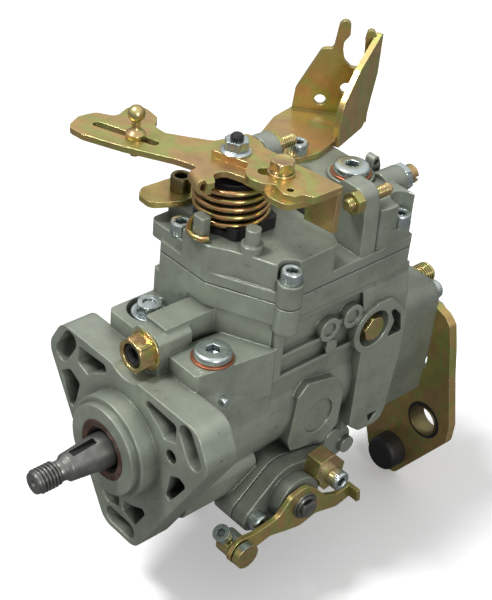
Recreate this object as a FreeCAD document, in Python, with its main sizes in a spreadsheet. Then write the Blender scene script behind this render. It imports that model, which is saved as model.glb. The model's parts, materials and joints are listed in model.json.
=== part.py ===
import FreeCAD, Part
import math
import os
import Sketcher

# Rotary diesel injection pump, millimetres.
# Origin on the shaft axis at the front face of the mounting flange.
# -Y is the drive end, +Y the fuel outlets, +Z up, +X the right flank.

os.makedirs("parts", exist_ok=True)
doc = FreeCAD.newDocument("injection_pump")
sheet = doc.addObject("Spreadsheet::Sheet", "Sizes")

SIZES = [
    ("flange_thick", 17.3, "mounting flange"),
    ("slot_pitch", 51.5, "radius of the slot centres"),
    ("slot_wide", 9.6, "slots for M8 studs"),
    ("slot_long", 21.5, "timing slots"),
    ("pocket_deep", 11.0, "cored pockets in the flange"),
    ("pilot_dia", 50.0, "locating spigot"),
    ("pilot_long", 9.0, "locating spigot"),
    ("nose_long", 12.3, "seal nose"),
    ("seal_dia", 30.0, "shaft seal"),
    ("seal_wide", 7.0, "shaft seal"),
    ("shaft_dia", 17.0, "drive shaft"),
    ("thread_dia", 12.0, "shaft nut thread M12"),
    ("shaft_end", 49.5, "shaft end before the flange"),
    ("bush_wall", 2.0, "plain bearing"),
    ("run_clear", 0.05, "running fit on a radius"),
    ("press_clear", 0.02, "push fit on a radius"),
    ("body_rad", 32.5, "pump body"),
    ("cavity_rad", 29.0, "inside of the pump body"),
    ("half_wide", 33.0, "upper flange half width"),
    ("parting_z", 70.0, "joint face of the governor cover"),
    ("band_z", 58.5, "underside of the upper flange"),
    ("rear_y", 145.5, "rear face of the housing"),
    ("head_long", 26.5, "distributor head"),
    ("plate_z", 45.6, "plug platform"),
    ("plug_dia", 17.4, "plug collar"),
    ("washer_dia", 19.6, "sealing washers"),
    ("washer_thick", 1.2, "sealing washers"),
    ("box_z", 89.5, "front roof of the cover"),
    ("roof_z", 97.0, "rear roof of the cover"),
    ("gasket_thick", 0.6, "flat gaskets"),
    ("head_dia", 10.0, "M6 socket head"),
    ("head_high", 6.0, "M6 socket head"),
    ("m6_dia", 6.0, "M6 shank"),
    ("hole_dia", 6.6, "M6 clearance hole"),
    ("hex_six", 5.0, "M6 socket key size"),
    ("ctrl_x", -12.0, "control shaft"),
    ("ctrl_y", 66.0, "control shaft"),
    ("ctrl_dia", 10.0, "control shaft"),
    ("lever_z", 117.0, "underside of the control lever"),
    ("lever_thick", 3.0, "control lever"),
    ("plate_thick", 3.5, "stop plate"),
    ("spring_rad", 16.2, "return spring mean radius"),
    ("wire_dia", 2.7, "return spring wire"),
    ("guide_rad", 13.5, "return spring guide"),
    ("idle_x", -21.0, "idle stop screw"),
    ("idle_z", 112.0, "idle stop screw"),
    ("full_x", 26.0, "full stop screw"),
    ("full_z", 103.0, "full stop screw"),
    ("adv_y", 68.5, "timing piston axis"),
    ("adv_z", -38.5, "timing piston axis"),
    ("piston_dia", 18.2, "timing piston"),
    ("side_x", 33.5, "side joint faces"),
    ("adv_flange", 8.0, "advance cover flange"),
    ("gov_z", 44.0, "governor shaft height"),
    ("pivot_y", 121.4, "governor lever pivot"),
    ("pivot_z", 32.5, "governor lever pivot"),
    ("plunger_dia", 11.0, "distributor plunger"),
    ("outlet_pitch", 25.0, "radius of the outlets' circle"),
    ("bracket_thick", 5.0, "rear bracket"),
    ("sheet_thick", 3.0, "cable bracket sheet"),
    ("rim_x", 36.0, "raised pads on the flanks"),
]
sheet.set("A1", "name")
sheet.set("B1", "value")
sheet.set("C1", "note")
for row, (alias, number, note) in enumerate(SIZES, start=2):
    sheet.set("A%d" % row, alias)
    sheet.set("B%d" % row, str(number))
    sheet.set("C%d" % row, note)
    sheet.setAlias("B%d" % row, alias)
doc.recompute()


class Q:
    """A size: its number now and the expression that drives it."""

    def __init__(self, v, t):
        self.v = float(v)
        self.t = t

    def __add__(self, o):
        return Q(self.v + num(o), "(%s + %s)" % (self.t, txt(o)))

    def __radd__(self, o):
        return Q(num(o) + self.v, "(%s + %s)" % (txt(o), self.t))

    def __sub__(self, o):
        return Q(self.v - num(o), "(%s - %s)" % (self.t, txt(o)))

    def __rsub__(self, o):
        return Q(num(o) - self.v, "(%s - %s)" % (txt(o), self.t))

    def __mul__(self, o):
        return Q(self.v * num(o), "(%s * %s)" % (self.t, txt(o)))

    def __rmul__(self, o):
        return Q(num(o) * self.v, "(%s * %s)" % (txt(o), self.t))

    def __truediv__(self, o):
        return Q(self.v / num(o), "(%s / %s)" % (self.t, txt(o)))

    def __neg__(self):
        return Q(-self.v, "(0 - %s)" % self.t)


def num(x):
    return x.v if isinstance(x, Q) else float(x)


def txt(x):
    return x.t if isinstance(x, Q) else "(%.5f)" % float(x)


S = {alias: Q(number, "Sizes." + alias) for alias, number, note in SIZES}


def bind(obj, path, value):
    """Drives a property by an expression."""
    obj.setExpression(path, txt(value))


AXES = {
    "Z": FreeCAD.Rotation(0, 0, 0, 1),
    "Y": FreeCAD.Rotation(FreeCAD.Vector(1, 0, 0), -90),
    "X": FreeCAD.Rotation(FreeCAD.Vector(0, 1, 0), 90),
    "slant": FreeCAD.Rotation(FreeCAD.Vector(1, 0, 0), 34),
}


class Circle:
    """A circle of a sketch."""

    def __init__(self, x, y, r):
        self.x, self.y, self.r = x, y, r

    def draw(self, sk):
        geo = Part.Circle(FreeCAD.Vector(num(self.x), num(self.y), 0),
                          FreeCAD.Vector(0, 0, 1), num(self.r))
        i = sk.addGeometry(geo, False)
        for kind, value in (("DistanceX", self.x), ("DistanceY", self.y)):
            c = sk.addConstraint(Sketcher.Constraint(kind, i, 3, num(value)))
            if isinstance(value, Q):
                sk.setExpression("Constraints[%d]" % c, value.t)
        c = sk.addConstraint(Sketcher.Constraint("Radius", i, num(self.r)))
        if isinstance(self.r, Q):
            sk.setExpression("Constraints[%d]" % c, self.r.t)


class Poly:
    """A closed outline, its corners rounded where a radius is given."""

    def __init__(self, points, r=0.0):
        self.points = points
        self.radii = r if isinstance(r, (list, tuple)) else [r] * len(points)

    def draw(self, sk):
        pts = [FreeCAD.Vector(num(x), num(y), 0) for x, y in self.points]
        n = len(pts)
        halves, reach = [], []
        for k in range(n):
            u = (pts[k - 1] - pts[k]).normalize()
            w = (pts[(k + 1) % n] - pts[k]).normalize()
            half = math.acos(max(-1.0, min(1.0, u.dot(w)))) / 2.0
            halves.append((u, w, half))
            straight = abs(half - math.pi / 2.0) < 0.01
            reach.append(0.0 if straight else self.radii[k] / math.tan(half))
        for k in range(n):
            room = (pts[(k + 1) % n] - pts[k]).Length * 0.98
            both = reach[k] + reach[(k + 1) % n]
            if both > room:
                reach[k] *= room / both
                reach[(k + 1) % n] *= room / both
        ins, outs, mids = [], [], []
        for k in range(n):
            u, w, half = halves[k]
            p, d = pts[k], reach[k]
            ins.append(p + u * d)
            outs.append(p + w * d)
            if d < 0.01:
                ins[k] = outs[k] = p
                mids.append(None)
                continue
            r = d * math.tan(half)
            mids.append((p + (u + w).normalize() * (r / math.sin(half)), r))
        lines = []
        for k in range(n):
            geo = Part.LineSegment(outs[k], ins[(k + 1) % n])
            lines.append(sk.addGeometry(geo, False))
        arcs = []
        for k in range(n):
            if mids[k] is None:
                arcs.append(None)
                continue
            centre, r = mids[k]
            a = math.atan2(ins[k].y - centre.y, ins[k].x - centre.x)
            b = math.atan2(outs[k].y - centre.y, outs[k].x - centre.x)
            turn = (b - a) % (2 * math.pi)
            left = turn < math.pi
            circle = Part.Circle(centre, FreeCAD.Vector(0, 0, 1), r)
            arc = Part.ArcOfCircle(circle, a, b) if left else Part.ArcOfCircle(circle, b, a)
            arcs.append((sk.addGeometry(arc, False), left))
        driven = any(isinstance(v, Q) for p in self.points for v in p)
        if not driven:
            for g in lines + [a[0] for a in arcs if a]:
                sk.addConstraint(Sketcher.Constraint("Block", g))
            return
        for k in range(n):
            before = lines[k - 1]
            after = lines[k]
            x, y = self.points[k]
            if arcs[k] is None:
                sk.addConstraint(Sketcher.Constraint("Coincident", before, 2, after, 1))
                where = (after, 1)
            else:
                g, left = arcs[k]
                first, last = (1, 2) if left else (2, 1)
                sk.addConstraint(Sketcher.Constraint("Tangent", before, 2, g, first))
                sk.addConstraint(Sketcher.Constraint("Tangent", g, last, after, 1))
                sk.addConstraint(Sketcher.Constraint("Radius", g, mids[k][1]))
                dot = sk.addGeometry(Part.Point(pts[k]), True)
                sk.addConstraint(Sketcher.Constraint("PointOnObject", dot, 1, before))
                sk.addConstraint(Sketcher.Constraint("PointOnObject", dot, 1, after))
                where = (dot, 1)
            for kind, value in (("DistanceX", x), ("DistanceY", y)):
                c = sk.addConstraint(Sketcher.Constraint(kind, where[0], where[1], num(value)))
                if isinstance(value, Q):
                    sk.setExpression("Constraints[%d]" % c, value.t)


def rect(x0, x1, y0, y1, r=0.0):
    """A rectangle outline."""
    return Poly([(x0, y0), (x1, y0), (x1, y1), (x0, y1)], r)


def hexagon(x, y, flats, turn=0.0):
    """A hexagon outline by its width across flats."""
    pts = []
    for k in range(6):
        a = math.radians(60 * k + turn)
        pts.append((x + flats * (math.cos(a) / math.sqrt(3)),
                    y + flats * (math.sin(a) / math.sqrt(3))))
    return Poly(pts)


def bar(cx, cy, long, wide, angle):
    """A slot outline with nearly round ends, turned by an angle."""
    a = math.radians(angle)
    out = []
    for sx, sy in ((-0.5, -0.5), (0.5, -0.5), (0.5, 0.5), (-0.5, 0.5)):
        ux = long * (sx * math.cos(a)) - wide * (sy * math.sin(a))
        uy = long * (sx * math.sin(a)) + wide * (sy * math.cos(a))
        out.append((cx + ux, cy + uy))
    return Poly(out, num(wide) * 0.495)


class Piece:
    """One sub-part: a body with its own label and placement."""

    count = 0

    def __init__(self, name, at=(0, 0, 0), axis="Z", keep=True):
        self.name = name
        self.body = doc.addObject("PartDesign::Body", name)
        self.body.Label = name
        self.body.AllowCompound = True
        self.body.Placement = FreeCAD.Placement(
            FreeCAD.Vector(*[num(v) for v in at]), AXES[axis])
        for letter, v in zip("xyz", at):
            if isinstance(v, Q):
                bind(self.body, "Placement.Base." + letter, v)
        if keep:
            PIECES.append(self.body)

    def sketch(self, plane, offset, loops):
        Piece.count += 1
        sk = self.body.newObject("Sketcher::SketchObject", "Outline%03d" % Piece.count)
        for feature in self.body.Origin.OriginFeatures:
            if feature.Role == plane + "_Plane":
                sk.AttachmentSupport = [(feature, "")]
        sk.MapMode = "FlatFace"
        bind(sk, "AttachmentOffset.Base.z", offset)
        for loop in loops:
            loop.draw(sk)
        return sk

    def _solid(self, kind, sk, length):
        f = self.body.newObject("PartDesign::" + kind, "%s%03d" % (kind, Piece.count))
        f.Profile = sk
        f.Refine = False
        bind(f, "Length", length)
        sk.Visibility = False
        return f

    def pad(self, plane, a, b, *loops):
        """Adds material between a and b along the plane's axis."""
        offset = -b if plane == "XZ" else a
        return self._solid("Pad", self.sketch(plane, offset, loops), b - a)

    def cut(self, plane, a, b, *loops):
        """Takes material away between a and b along the plane's axis."""
        offset = -a if plane == "XZ" else b
        return self._solid("Pocket", self.sketch(plane, offset, loops), b - a)

    def turn(self, *points):
        """Adds a turned form, points as radius and height."""
        return self._turned("Revolution", points)

    def groove(self, *points):
        """Takes a turned form away."""
        return self._turned("Groove", points)

    def _turned(self, kind, points):
        sk = self.sketch("XZ", 0.0, [Poly(list(points))])
        f = self.body.newObject("PartDesign::" + kind, "%s%03d" % (kind, Piece.count))
        f.Profile = sk
        f.Refine = False
        f.ReferenceAxis = (sk, ["V_Axis"])
        f.Angle = 360.0
        sk.Visibility = False
        return f

    def ring(self, feature, number):
        """Repeats a feature round the piece's own axis."""
        f = self.body.newObject("PartDesign::PolarPattern", "Ring%03d" % Piece.count)
        f.Originals = [feature]
        f.Refine = False
        for axis in self.body.Origin.OriginFeatures:
            if axis.Role == "Z_Axis":
                f.Axis = (axis, [""])
        f.Angle = 360.0
        f.Occurrences = number
        self.body.Tip = f
        return f


PIECES = []


class Casting:
    """A casting: its forms joined, then all its hollows taken out at once."""

    def __init__(self, name):
        self.name = name
        self.forms = []
        self.hollows = []

    def form(self, word):
        self.forms.append(Piece(self.name + "_form_" + word, keep=False))

    def hollow(self, word):
        self.hollows.append(Piece(self.name + "_hollow_" + word, keep=False))

    def pad(self, plane, a, b, *loops):
        return self.forms[-1].pad(plane, a, b, *loops)

    def cut(self, plane, a, b, *loops):
        return self.hollows[-1].pad(plane, a, b, *loops)

    def close(self):
        joined = []
        for word, group in (("forms", self.forms), ("hollows", self.hollows)):
            fuse = doc.addObject("Part::MultiFuse", self.name + "_" + word)
            fuse.Shapes = [piece.body for piece in group]
            joined.append(fuse)
        whole = doc.addObject("Part::Cut", self.name)
        whole.Base, whole.Tool = joined
        whole.Label = self.name
        PIECES.append(whole)
        return whole


def group(name, *pieces):
    """Makes one node of like pieces that belong together."""
    whole = doc.addObject("Part::Compound", name)
    whole.Links = list(pieces)
    whole.Label = name
    for piece in pieces:
        PIECES.remove(piece)
    PIECES.append(whole)
    return whole


def coil(name, at, axis, rad, wire, pitch, height, sides=6):
    """A coil spring, a wire of a few flats swept along a helix."""
    helix = doc.addObject("Part::Helix", name + "_path")
    bind(helix, "Radius", rad)
    bind(helix, "Pitch", pitch)
    bind(helix, "Height", height)
    section = doc.addObject("Part::RegularPolygon", name + "_wire")
    section.Polygon = sides
    bind(section, "Circumradius", wire / 2.0)
    section.Placement = FreeCAD.Placement(
        FreeCAD.Vector(num(rad), 0, 0), FreeCAD.Rotation(FreeCAD.Vector(1, 0, 0), 90))
    bind(section, "Placement.Base.x", rad)
    sweep = doc.addObject("Part::Sweep", name)
    sweep.Sections = [section]
    sweep.Spine = (helix, [])
    sweep.Solid = True
    sweep.Frenet = True
    sweep.Label = name
    sweep.Placement = FreeCAD.Placement(
        FreeCAD.Vector(*[num(v) for v in at]), AXES[axis])
    for letter, v in zip("xyz", at):
        if isinstance(v, Q):
            bind(sweep, "Placement.Base." + letter, v)
    PIECES.append(sweep)
    return sweep


# driving values by short names
flange = S["flange_thick"]
parting = S["parting_z"]
gasket_top = parting + S["gasket_thick"]
band = S["band_z"]
rear = S["rear_y"]
head_end = rear + S["head_long"]
plate = S["plate_z"]
box = S["box_z"]
roof = S["roof_z"]
side = S["half_wide"]
m6 = S["m6_dia"] / 2.0
plug_r = S["plug_dia"] / 2.0 - 3.7
hole6 = S["hole_dia"] / 2.0
head_rad = S["head_dia"] / 2.0
head_high = S["head_high"]
key6 = S["hex_six"]
cx = S["ctrl_x"]
cy = S["ctrl_y"]
ay = S["adv_y"]
az = S["adv_z"]
join = S["side_x"]
rim = S["rim_x"]
shaft_r = S["shaft_dia"] / 2.0
run = S["run_clear"]
press = S["press_clear"]
bush_r = shaft_r + S["bush_wall"]
gz = S["gov_z"]
pvy = S["pivot_y"]
pvz = S["pivot_z"]

# cover screws: x, y and seat height
FR = (34.0, 61.5)
RR = (29.1, 135.5)
FL = (-24.0, 47.5)
RL = (-26.0, 119.5)
SEATS = (82.0, 83.4, 82.0)
ADV_SCREWS = ((ay - 21.3, az - 5.3), (ay + 21.3, az + 5.3))
ADV = Poly([(ay - 37.1, az - 9.2), (ay - 4.4, az + 17.8), (ay + 37.1, az + 9.2), (ay + 4.4, az - 17.8)],
           [7, 16.5, 7, 16.5])
HEAD_SCREWS = ((26.2, 28.2), (-26.2, 28.2), (-27.0, -26.3), (25.5, -26.3))
BRACKET_BOLT = (27.0, 14.2)
OUTLETS = []
for turned in (69, 159, 249, 339):
    OUTLETS.append((S["outlet_pitch"] * math.cos(math.radians(turned)),
                    S["outlet_pitch"] * math.sin(math.radians(turned))))

# housing

h = Casting("housing")
h.form("flange")
h.pad("XZ", 0.0, flange, Poly([(-48.4, 37.1), (48.4, 37.1), (57.6, 20.0), (12.0, -59.2),
                               (-12.0, -59.2), (-58.3, 20.0)], [9, 9, 10, 9, 9, 10]))
h.pad("XZ", -S["pilot_long"], 0.0, Circle(0, 0, S["pilot_dia"] / 2.0))
h.pad("XZ", -S["nose_long"], 0.0, Circle(0, 0, S["pilot_dia"] / 2.0 - 2.8))
h.pad("XZ", flange - 1.0, 125.0, Circle(0, 0, S["body_rad"]))
h.form("top")
# upper body, joint flange with its oblique front corner
h.pad("XY", 0.0, band + 1.0, Poly([(-30, 42.5), (-0.5, 42.5), (30, 57.5), (30, 120), (-30, 120)]))
h.pad("XY", band, parting, Poly([(-32.5, 42.0), (0, 42.0), (side, 57.8), (side, rear - 2.0),
                                 (-side, rear - 2.0), (-side, 47.0)],
                                [3, 2, 1, 3, 3, 3]))
h.pad("XY", band - 4.5, band + 1.0, Poly([(-31, 43), (-0.5, 43), (31.3, 58.5), (31.3, 122),
                                          (-31, 122)]))
h.pad("XY", band - 2.0, parting, Circle(FR[0], FR[1], 6.0))
h.form("blocks")
# walls between the flange and the upper body
h.pad("XY", 20.0, plate, Poly([(5, flange - 1), (27.4, flange - 1), (33.4, 59.5), (8.0, 47.0)],
                              [0, 2, 1, 0]))
h.pad("XZ", flange - 1.0, 60.0, Poly([(-34, -2), (31.5, -2), (31.5, 24), (27, 37),
                                      (-33, 37), (-35, 20)], [3, 3, 5, 2, 2, 5]))
# inlet block and the block of the pressure valve
h.pad("XY", 30.0, 57.3, rect(-9.0, 5.0, flange - 0.3, 46.0, 0.8))
h.pad("XZ", 10.4, 30.0, Poly([(-10.5, 30), (8.0, 30), (8.0, 53), (4.5, 55.3), (-7.5, 55.3),
                              (-10.5, 52)], [0, 0, 2, 2, 2, 2]))
h.pad("XY", 10.0, 46.0, Poly([(-35, flange - 1), (-5, flange - 1), (-5, 46), (-35, 46)],
                             [3, 0, 0, 0]))
h.pad("XY", 30.0, band + 1.0, rect(-35.0, -10.0, 42.0, 56.0, 1.5))
h.form("rear")
# rear flange with its side pillars
h.pad("XZ", 114.5, rear, Poly([(-31, -31.5), (31, -31.5), (33.4, 0), (33.4, 44), (31.5, 55),
                               (-31.5, 55), (-33.4, 44), (-33.4, 0)],
                              [3, 3, 8, 5, 3, 3, 5, 8]))
for sign in (1, -1):
    a, b = (24.0, rim) if sign > 0 else (-rim, -24.0)
    h.pad("YZ", a, b, Poly([(114.5, 24), (114.5, -25.0), (122.0, -31.0), (133.5, -31.8), (137.5, -30.0),
                            (140.0, -24.5), (144.5, 9.7), (144.9, 30.8), (139.7, 38.3), (131.5, 46.5),
                            (121.0, 47.0)], [2, 3, 3, 2, 2, 4, 8, 5, 4, 4, 2]))
h.pad("XZ", 122.0, rear, rect(-31.5, 31.5, 40.0, band + 1.0))
h.form("barrel")
# timing piston barrel across the body
h.pad("YZ", -join, join, Circle(ay, az, 14.8))
h.pad("YZ", -join, -join + 12.0, ADV)
h.pad("YZ", join - 12.0, join, ADV)
h.pad("YZ", -20.0, 20.0, Poly([(45, -34), (92, -22), (84, -44), (66, -53), (47, -46)], 4))
# skirt and lugs under the body
h.pad("XZ", flange - 1.0, 58.0, Poly([(-30, -18), (30, -18), (27, -38), (16, -44),
                                      (-16, -44), (-27, -38)], [6, 6, 6, 8, 8, 6]))
h.pad("YZ", 8.0, 27.0, Circle(117.0, -42.0, 9.5))
h.pad("YZ", 20.0, 30.0, Circle(122.5, -45.0, 4.6))
h.pad("YZ", 8.0, 22.0, Poly([(92, -30), (118, -30), (117, -51), (96, -44)], [2, 2, 6, 3]))
h.form("marks")
# octagonal pad with its round mark
h.pad("YZ", 20.0, join + 0.7, Poly([(73, -16), (76, 10), (82, 16), (100, 12), (108, 0),
                                    (107, -20), (98.5, -27.8), (90, -25.2), (75.5, -21.8)], 1.5))
# ribs and small bosses on the right flank
h.pad("YZ", 26.0, side - 0.2, rect(62.0, 113.0, 25.6, 28.4, 1.0))
h.pad("YZ", 26.0, side, rect(62.0, 90.0, 37.8, 40.2, 1.0))
h.pad("YZ", 26.0, side, rect(58.5, 63.0, 26.0, 56.0, 1.5))
h.pad("YZ", 24.0, side + 1.2, Circle(92.0, 43.0, 6.2))
h.pad("YZ", 24.0, side + 1.2, Circle(107.0, 44.5, 6.2))
h.pad("YZ", 24.0, side + 0.2, Circle(95.5, 31.3, 3.6))
h.pad("YZ", 24.0, side, rect(92.5, 95.5, 29.0, 44.0))
h.pad("YZ", 24.0, side, rect(92.0, 107.0, 42.0, 45.0))
for sign in (1, -1):
    a, b = (24.0, rim) if sign > 0 else (-rim, -24.0)
    h.pad("YZ", a, b, Circle(pvy, pvz, 13.3))

h.hollow("flange")
# hollows of the flange
for angle in (30, 150, 270):
    a = math.radians(angle)
    h.cut("XZ", -1.0, flange + 1.0,
          bar(S["slot_pitch"] * math.cos(a), S["slot_pitch"] * math.sin(a),
              S["slot_long"], S["slot_wide"], angle + 90))
for sign in (-1, 1):
    h.cut("XZ", -1.0, S["pocket_deep"],
          Poly([(sign * 35.4, 22), (sign * 35.2, 31.8), (sign * 15.5, 33.0), (sign * 13.8, 29.6),
                (sign * 24.6, 22.6), (sign * 27.5, 19.4)], [2.2, 2.2, 1.6, 1.6, 3, 2]))
    h.cut("XZ", -1.0, S["pocket_deep"],
          Poly([(sign * 1.3, -36.3), (sign * 9.5, -34), (sign * 20.4, -28.6), (sign * 10.8, -45.6),
                (sign * 1.3, -42.4)], [2, 4, 2, 2.4, 2]))
h.cut("XZ", -1.0, S["pocket_deep"],
      Poly([(-48.4, 9.4), (-41, 14.8), (-33.4, 10.8), (-35.8, 0), (-38.8, -9.4)],
           [2, 3, 2, 3, 2]))
h.cut("XZ", -1.0, S["pocket_deep"],
      Poly([(33.4, 2.2), (39.1, 5.0), (44.4, 3.2), (34.2, -12.6), (31.0, -11.3)],
           [1.2, 2, 2, 1.6, 1.4]))
h.cut("XZ", -1.0, 5.0, Circle(33.0, 13.0, 3.4))
h.cut("XZ", -1.0, flange - 6.0, Circle(-1.4, 50.6, 16.5))
h.hollow("inside")
# seal seat, bearing bore, vane pump bore and the inner space
h.cut("XZ", -S["nose_long"] - 1.0, -S["nose_long"] + S["seal_wide"] + 0.5,
      Circle(0, 0, S["seal_dia"] / 2.0 + press))
h.cut("XZ", -10.0, 30.0, Circle(0, 0, bush_r + press))
h.cut("XZ", 28.5, 50.0, Circle(0, 0, 24.0))
h.cut("XZ", 49.0, rear + 1.0, Circle(0, 0, S["cavity_rad"]))
h.cut("XZ", 54.6, 92.0, Circle(0, gz, 19.2))
h.cut("XY", 0.0, parting + 1.0, Poly([(-20.5, 55.0), (0, 50.0), (25.0, 62.0), (25.0, 138.0),
                                      (-20.5, 138.0)], [2, 2, 2, 3, 3]))
h.cut("XY", 0.0, 54.0, rect(-26.0, 0.0, 56.0, 138.0, 2.0))
h.cut("XZ", 34.0, 56.0, Circle(0, gz, 4.0 + press))
h.hollow("bores")
# timing piston bore, pin slot, screws
h.cut("YZ", -join - 1.0, join + 1.0, Circle(ay, az, S["piston_dia"] / 2.0 + run))
h.cut("XY", az, -20.0, rect(-9.0, 9.0, ay - 4.0, ay + 4.0))
h.cut("YZ", join - 10.5, join + 1.0, *[Circle(y, z, m6 + press) for y, z in ADV_SCREWS])
h.cut("YZ", -join - 1.0, -join + 10.5, *[Circle(y, z, m6 + press) for y, z in ADV_SCREWS])
h.hollow("fittings")
# valve recess, inlet bore, plug thread
h.cut("XY", 41.0, 60.0, Circle(-24.0, 31.5, 10.5))
h.cut("XY", 28.0, 42.0, Circle(-24.0, 31.5, 5.0 + press))
h.cut("XZ", 9.0, 26.0, Circle(0.5, 47.0, 5.0 + press))
h.cut("XY", plate - 9.0, plate + 1.0, Circle(20.5, 31.5, plug_r + press))
# threads for the cover screws
for x, y in (FR, RR, FL, RL):
    h.cut("XY", parting - 12.0, parting + 1.0, Circle(x, y, m6 + press))
h.hollow("sides")
# pivot screws in their deep rings, pocket behind the ring
for sign in (1, -1):
    a, b = (28.0, rim + 1.0) if sign > 0 else (-rim - 1.0, -28.0)
    h.cut("YZ", a, b, Circle(pvy, pvz, 9.9))
    a, b = (24.0, 29.0) if sign > 0 else (-29.0, -24.0)
    h.cut("YZ", a, b, Circle(pvy, pvz, 5.0 + press))
    a, b = (30.0, rim + 1.0) if sign > 0 else (-rim - 1.0, -30.0)
    h.cut("YZ", a, b, Poly([(131.5, 39.0), (135.4, 38.3), (140.0, 33.4), (142.2, 22.4), (132.0, 22.9),
                            (135.8, 31.0)], [1, 1.5, 1.5, 1, 1, 3]))
h.cut("YZ", 33.0, side + 2.0, Circle(92.0, 43.0, 3.6))
h.cut("YZ", 33.0, side + 2.0, Circle(107.0, 44.5, 3.6))
h.cut("YZ", join - 0.4, join + 2.0, Circle(92.0, -8.0, 9.5))
h.cut("YZ", 29.0, 33.0, Circle(30.7, 28.0, 2.2))
# head screw threads
for x, z in HEAD_SCREWS:
    h.cut("XZ", rear - 6.5, rear + 1.0, Circle(x, z, m6 + press))
# notches in the feet of the pillars
for sign in (1, -1):
    a, b = (32.0, rim + 1.0) if sign > 0 else (-rim - 1.0, -32.0)
    h.cut("YZ", a, b, Poly([(127.0, -23.3), (134.5, -23.9), (129.0, -29.5)], 0.6))
h.close()

# governor cover

OPENING = Poly([(-19.0, 56.0), (0, 51.0), (25.0, 62.5), (25.0, 137.0), (-19.0, 137.0)],
               [2, 2, 2, 3, 3])
FACE = Poly([(-32.5, 42.0), (0, 42.0), (side, 57.8), (side, rear - 2.0), (-side, rear - 2.0),
             (-side, 47.0)], [3, 2, 1, 3, 3, 3])
g = Piece("cover_gasket")
g.pad("XY", parting, gasket_top, FACE)
g.pad("XY", parting, gasket_top, Circle(FR[0], FR[1], 6.0))
g.cut("XY", parting - 1.0, parting + 3.0, OPENING)
g.cut("XY", parting - 1.0, parting + 3.0, Circle(FR[0], FR[1], hole6), Circle(RR[0], RR[1], hole6),
      Circle(FL[0], FL[1], hole6), Circle(RL[0], RL[1], hole6))

c = Piece("governor_cover")
c.pad("XY", gasket_top, 76.0, FACE)
c.pad("XY", gasket_top, SEATS[0], Circle(FR[0], FR[1], 6.0))
# front box with its top edge set back over the oblique corner
c.pad("XY", 74.0, box, Poly([(-16.5, 42.0), (0.5, 42.0), (8.5, 47.5), (21, 53.5), (29, 56.5),
                             (33.0, 62.0), (32.8, 91.0), (24.0, 95.5), (-32, 95.5), (-32, 52),
                             (-16.5, 52)], [0.5, 3, 3, 3, 4, 5, 6, 8, 2, 1, 0]))
# left overhang, ledge of the left screw and seat of the support plate
c.pad("XY", 74.0, SEATS[2], Poly([(-41.0, 43.5), (-16.5, 43.5), (-16.5, 60), (-41.5, 60)],
                                 [4, 0, 0, 2]))
c.pad("XY", 74.0, box, Poly([(-41.5, 53.5), (-16, 53.5), (-16, 95), (-38, 95), (-41.5, 88)],
                            [2, 0, 0, 2, 2]))
# rear box, plug boss, lugs
c.pad("XY", 74.0, roof, Poly([(-31.5, 112.0), (10.0, 112.0), (16.0, 118.0), (31.5, 118.0),
                              (32.8, 124.0), (32.8, 142.5), (-31.5, 142.5)],
                             [3, 2, 2, 3, 3, 5, 5]))
c.pad("XY", 90.0, roof + 1.5, Circle(0.7, 129.4, 11.2))
c.pad("XZ", 107.5, 117.0, Poly([(10.0, 72.0), (32.2, 72.0), (31.4, 96.0), (29.0, 109.0),
                                (14.0, 109.0), (10.5, 98.0)], [0, 0, 6, 6, 5, 8]))
c.pad("XZ", 87.5, 96.0, Poly([(-30.5, 72.0), (-12.0, 72.0), (-13.0, 119.5), (-29.0, 119.5)],
                             [0, 0, 7.5, 7.5]))
c.pad("YZ", -1.0, 4.0, Poly([(139.6, 90), (146, 90), (146, 99), (143.6, 105.5), (140.2, 104)],
                            [0, 0, 2, 2.5, 2]))
c.pad("XZ", 138.0, 152.0, Circle(10.5, 92.5, 7.2))
c.pad("XY", 74.0, 97.0, Circle(cx, cy, 8.5))
# spring posts
c.pad("XY", 85.0, 100.0, rect(-11.0, -4.2, 42.3, 47.6, 1.2))
c.pad("XY", 85.0, 93.5, Circle(14.3, 55.4, 5.0))
c.pad("XY", 85.0, 101.0, Circle(14.3, 55.4, 3.4))
# inner spaces
c.cut("XY", gasket_top - 1.0, box - 3.5, Poly([(-19.0, 56.0), (0, 51.0), (25.0, 62.5),
                                              (25.0, 91.0), (-19.0, 91.0)], 2))
c.cut("XY", gasket_top - 1.0, 73.0, OPENING)
c.cut("XY", gasket_top - 1.0, 86.0, Poly([(-19.0, 116), (21, 120), (21, 137), (-19, 137)], 3))
# control shaft bore, drawn again through its boss
c.pad("XY", 76.0, box + 0.5, Circle(cx, cy, 8.5))
c.cut("XY", 70.0, 99.0, Circle(cx, cy, S["ctrl_dia"] / 2.0 + run))
# screw holes with their counter seats
for (x, y), seat in zip((FR, RR, FL), SEATS):
    c.cut("XY", 66.0, 110.0, Circle(x, y, hole6))
    c.cut("XY", seat, 112.0, Circle(x, y, 6.2))
c.cut("XY", 66.0, 112.0, Circle(RL[0], RL[1], hole6))
c.cut("XY", SEATS[1], 112.0, Poly([(RR[0], 129.3), (40, 127.4), (40, 141.7), (RR[0], 141.7)]))
c.cut("XY", SEATS[2], 112.0, Poly([(-42.5, 42.0), (-16.5, 42.0), (-16.5, 50.0), (-20, 53.5),
                                  (-42.5, 53.5)], [0, 0, 3, 0, 0]))
# stop screw bores, plug thread, full load screw bore, lug hole, arc groove
c.cut("XZ", 80.0, 100.0, Circle(S["idle_x"], S["idle_z"], m6 + press))
c.cut("XZ", 100.0, 122.0, Circle(S["full_x"], S["full_z"], m6 + press))
c.cut("XZ", 113.0, 153.0, Circle(10.5, 92.5, 4.0 + press))
c.cut("XY", 88.0, 99.0, Circle(0.7, 129.4, plug_r + press))
c.cut("YZ", -2.0, 5.0, Circle(142.7, 101.4, 1.6))

# fasteners of the cover

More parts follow.
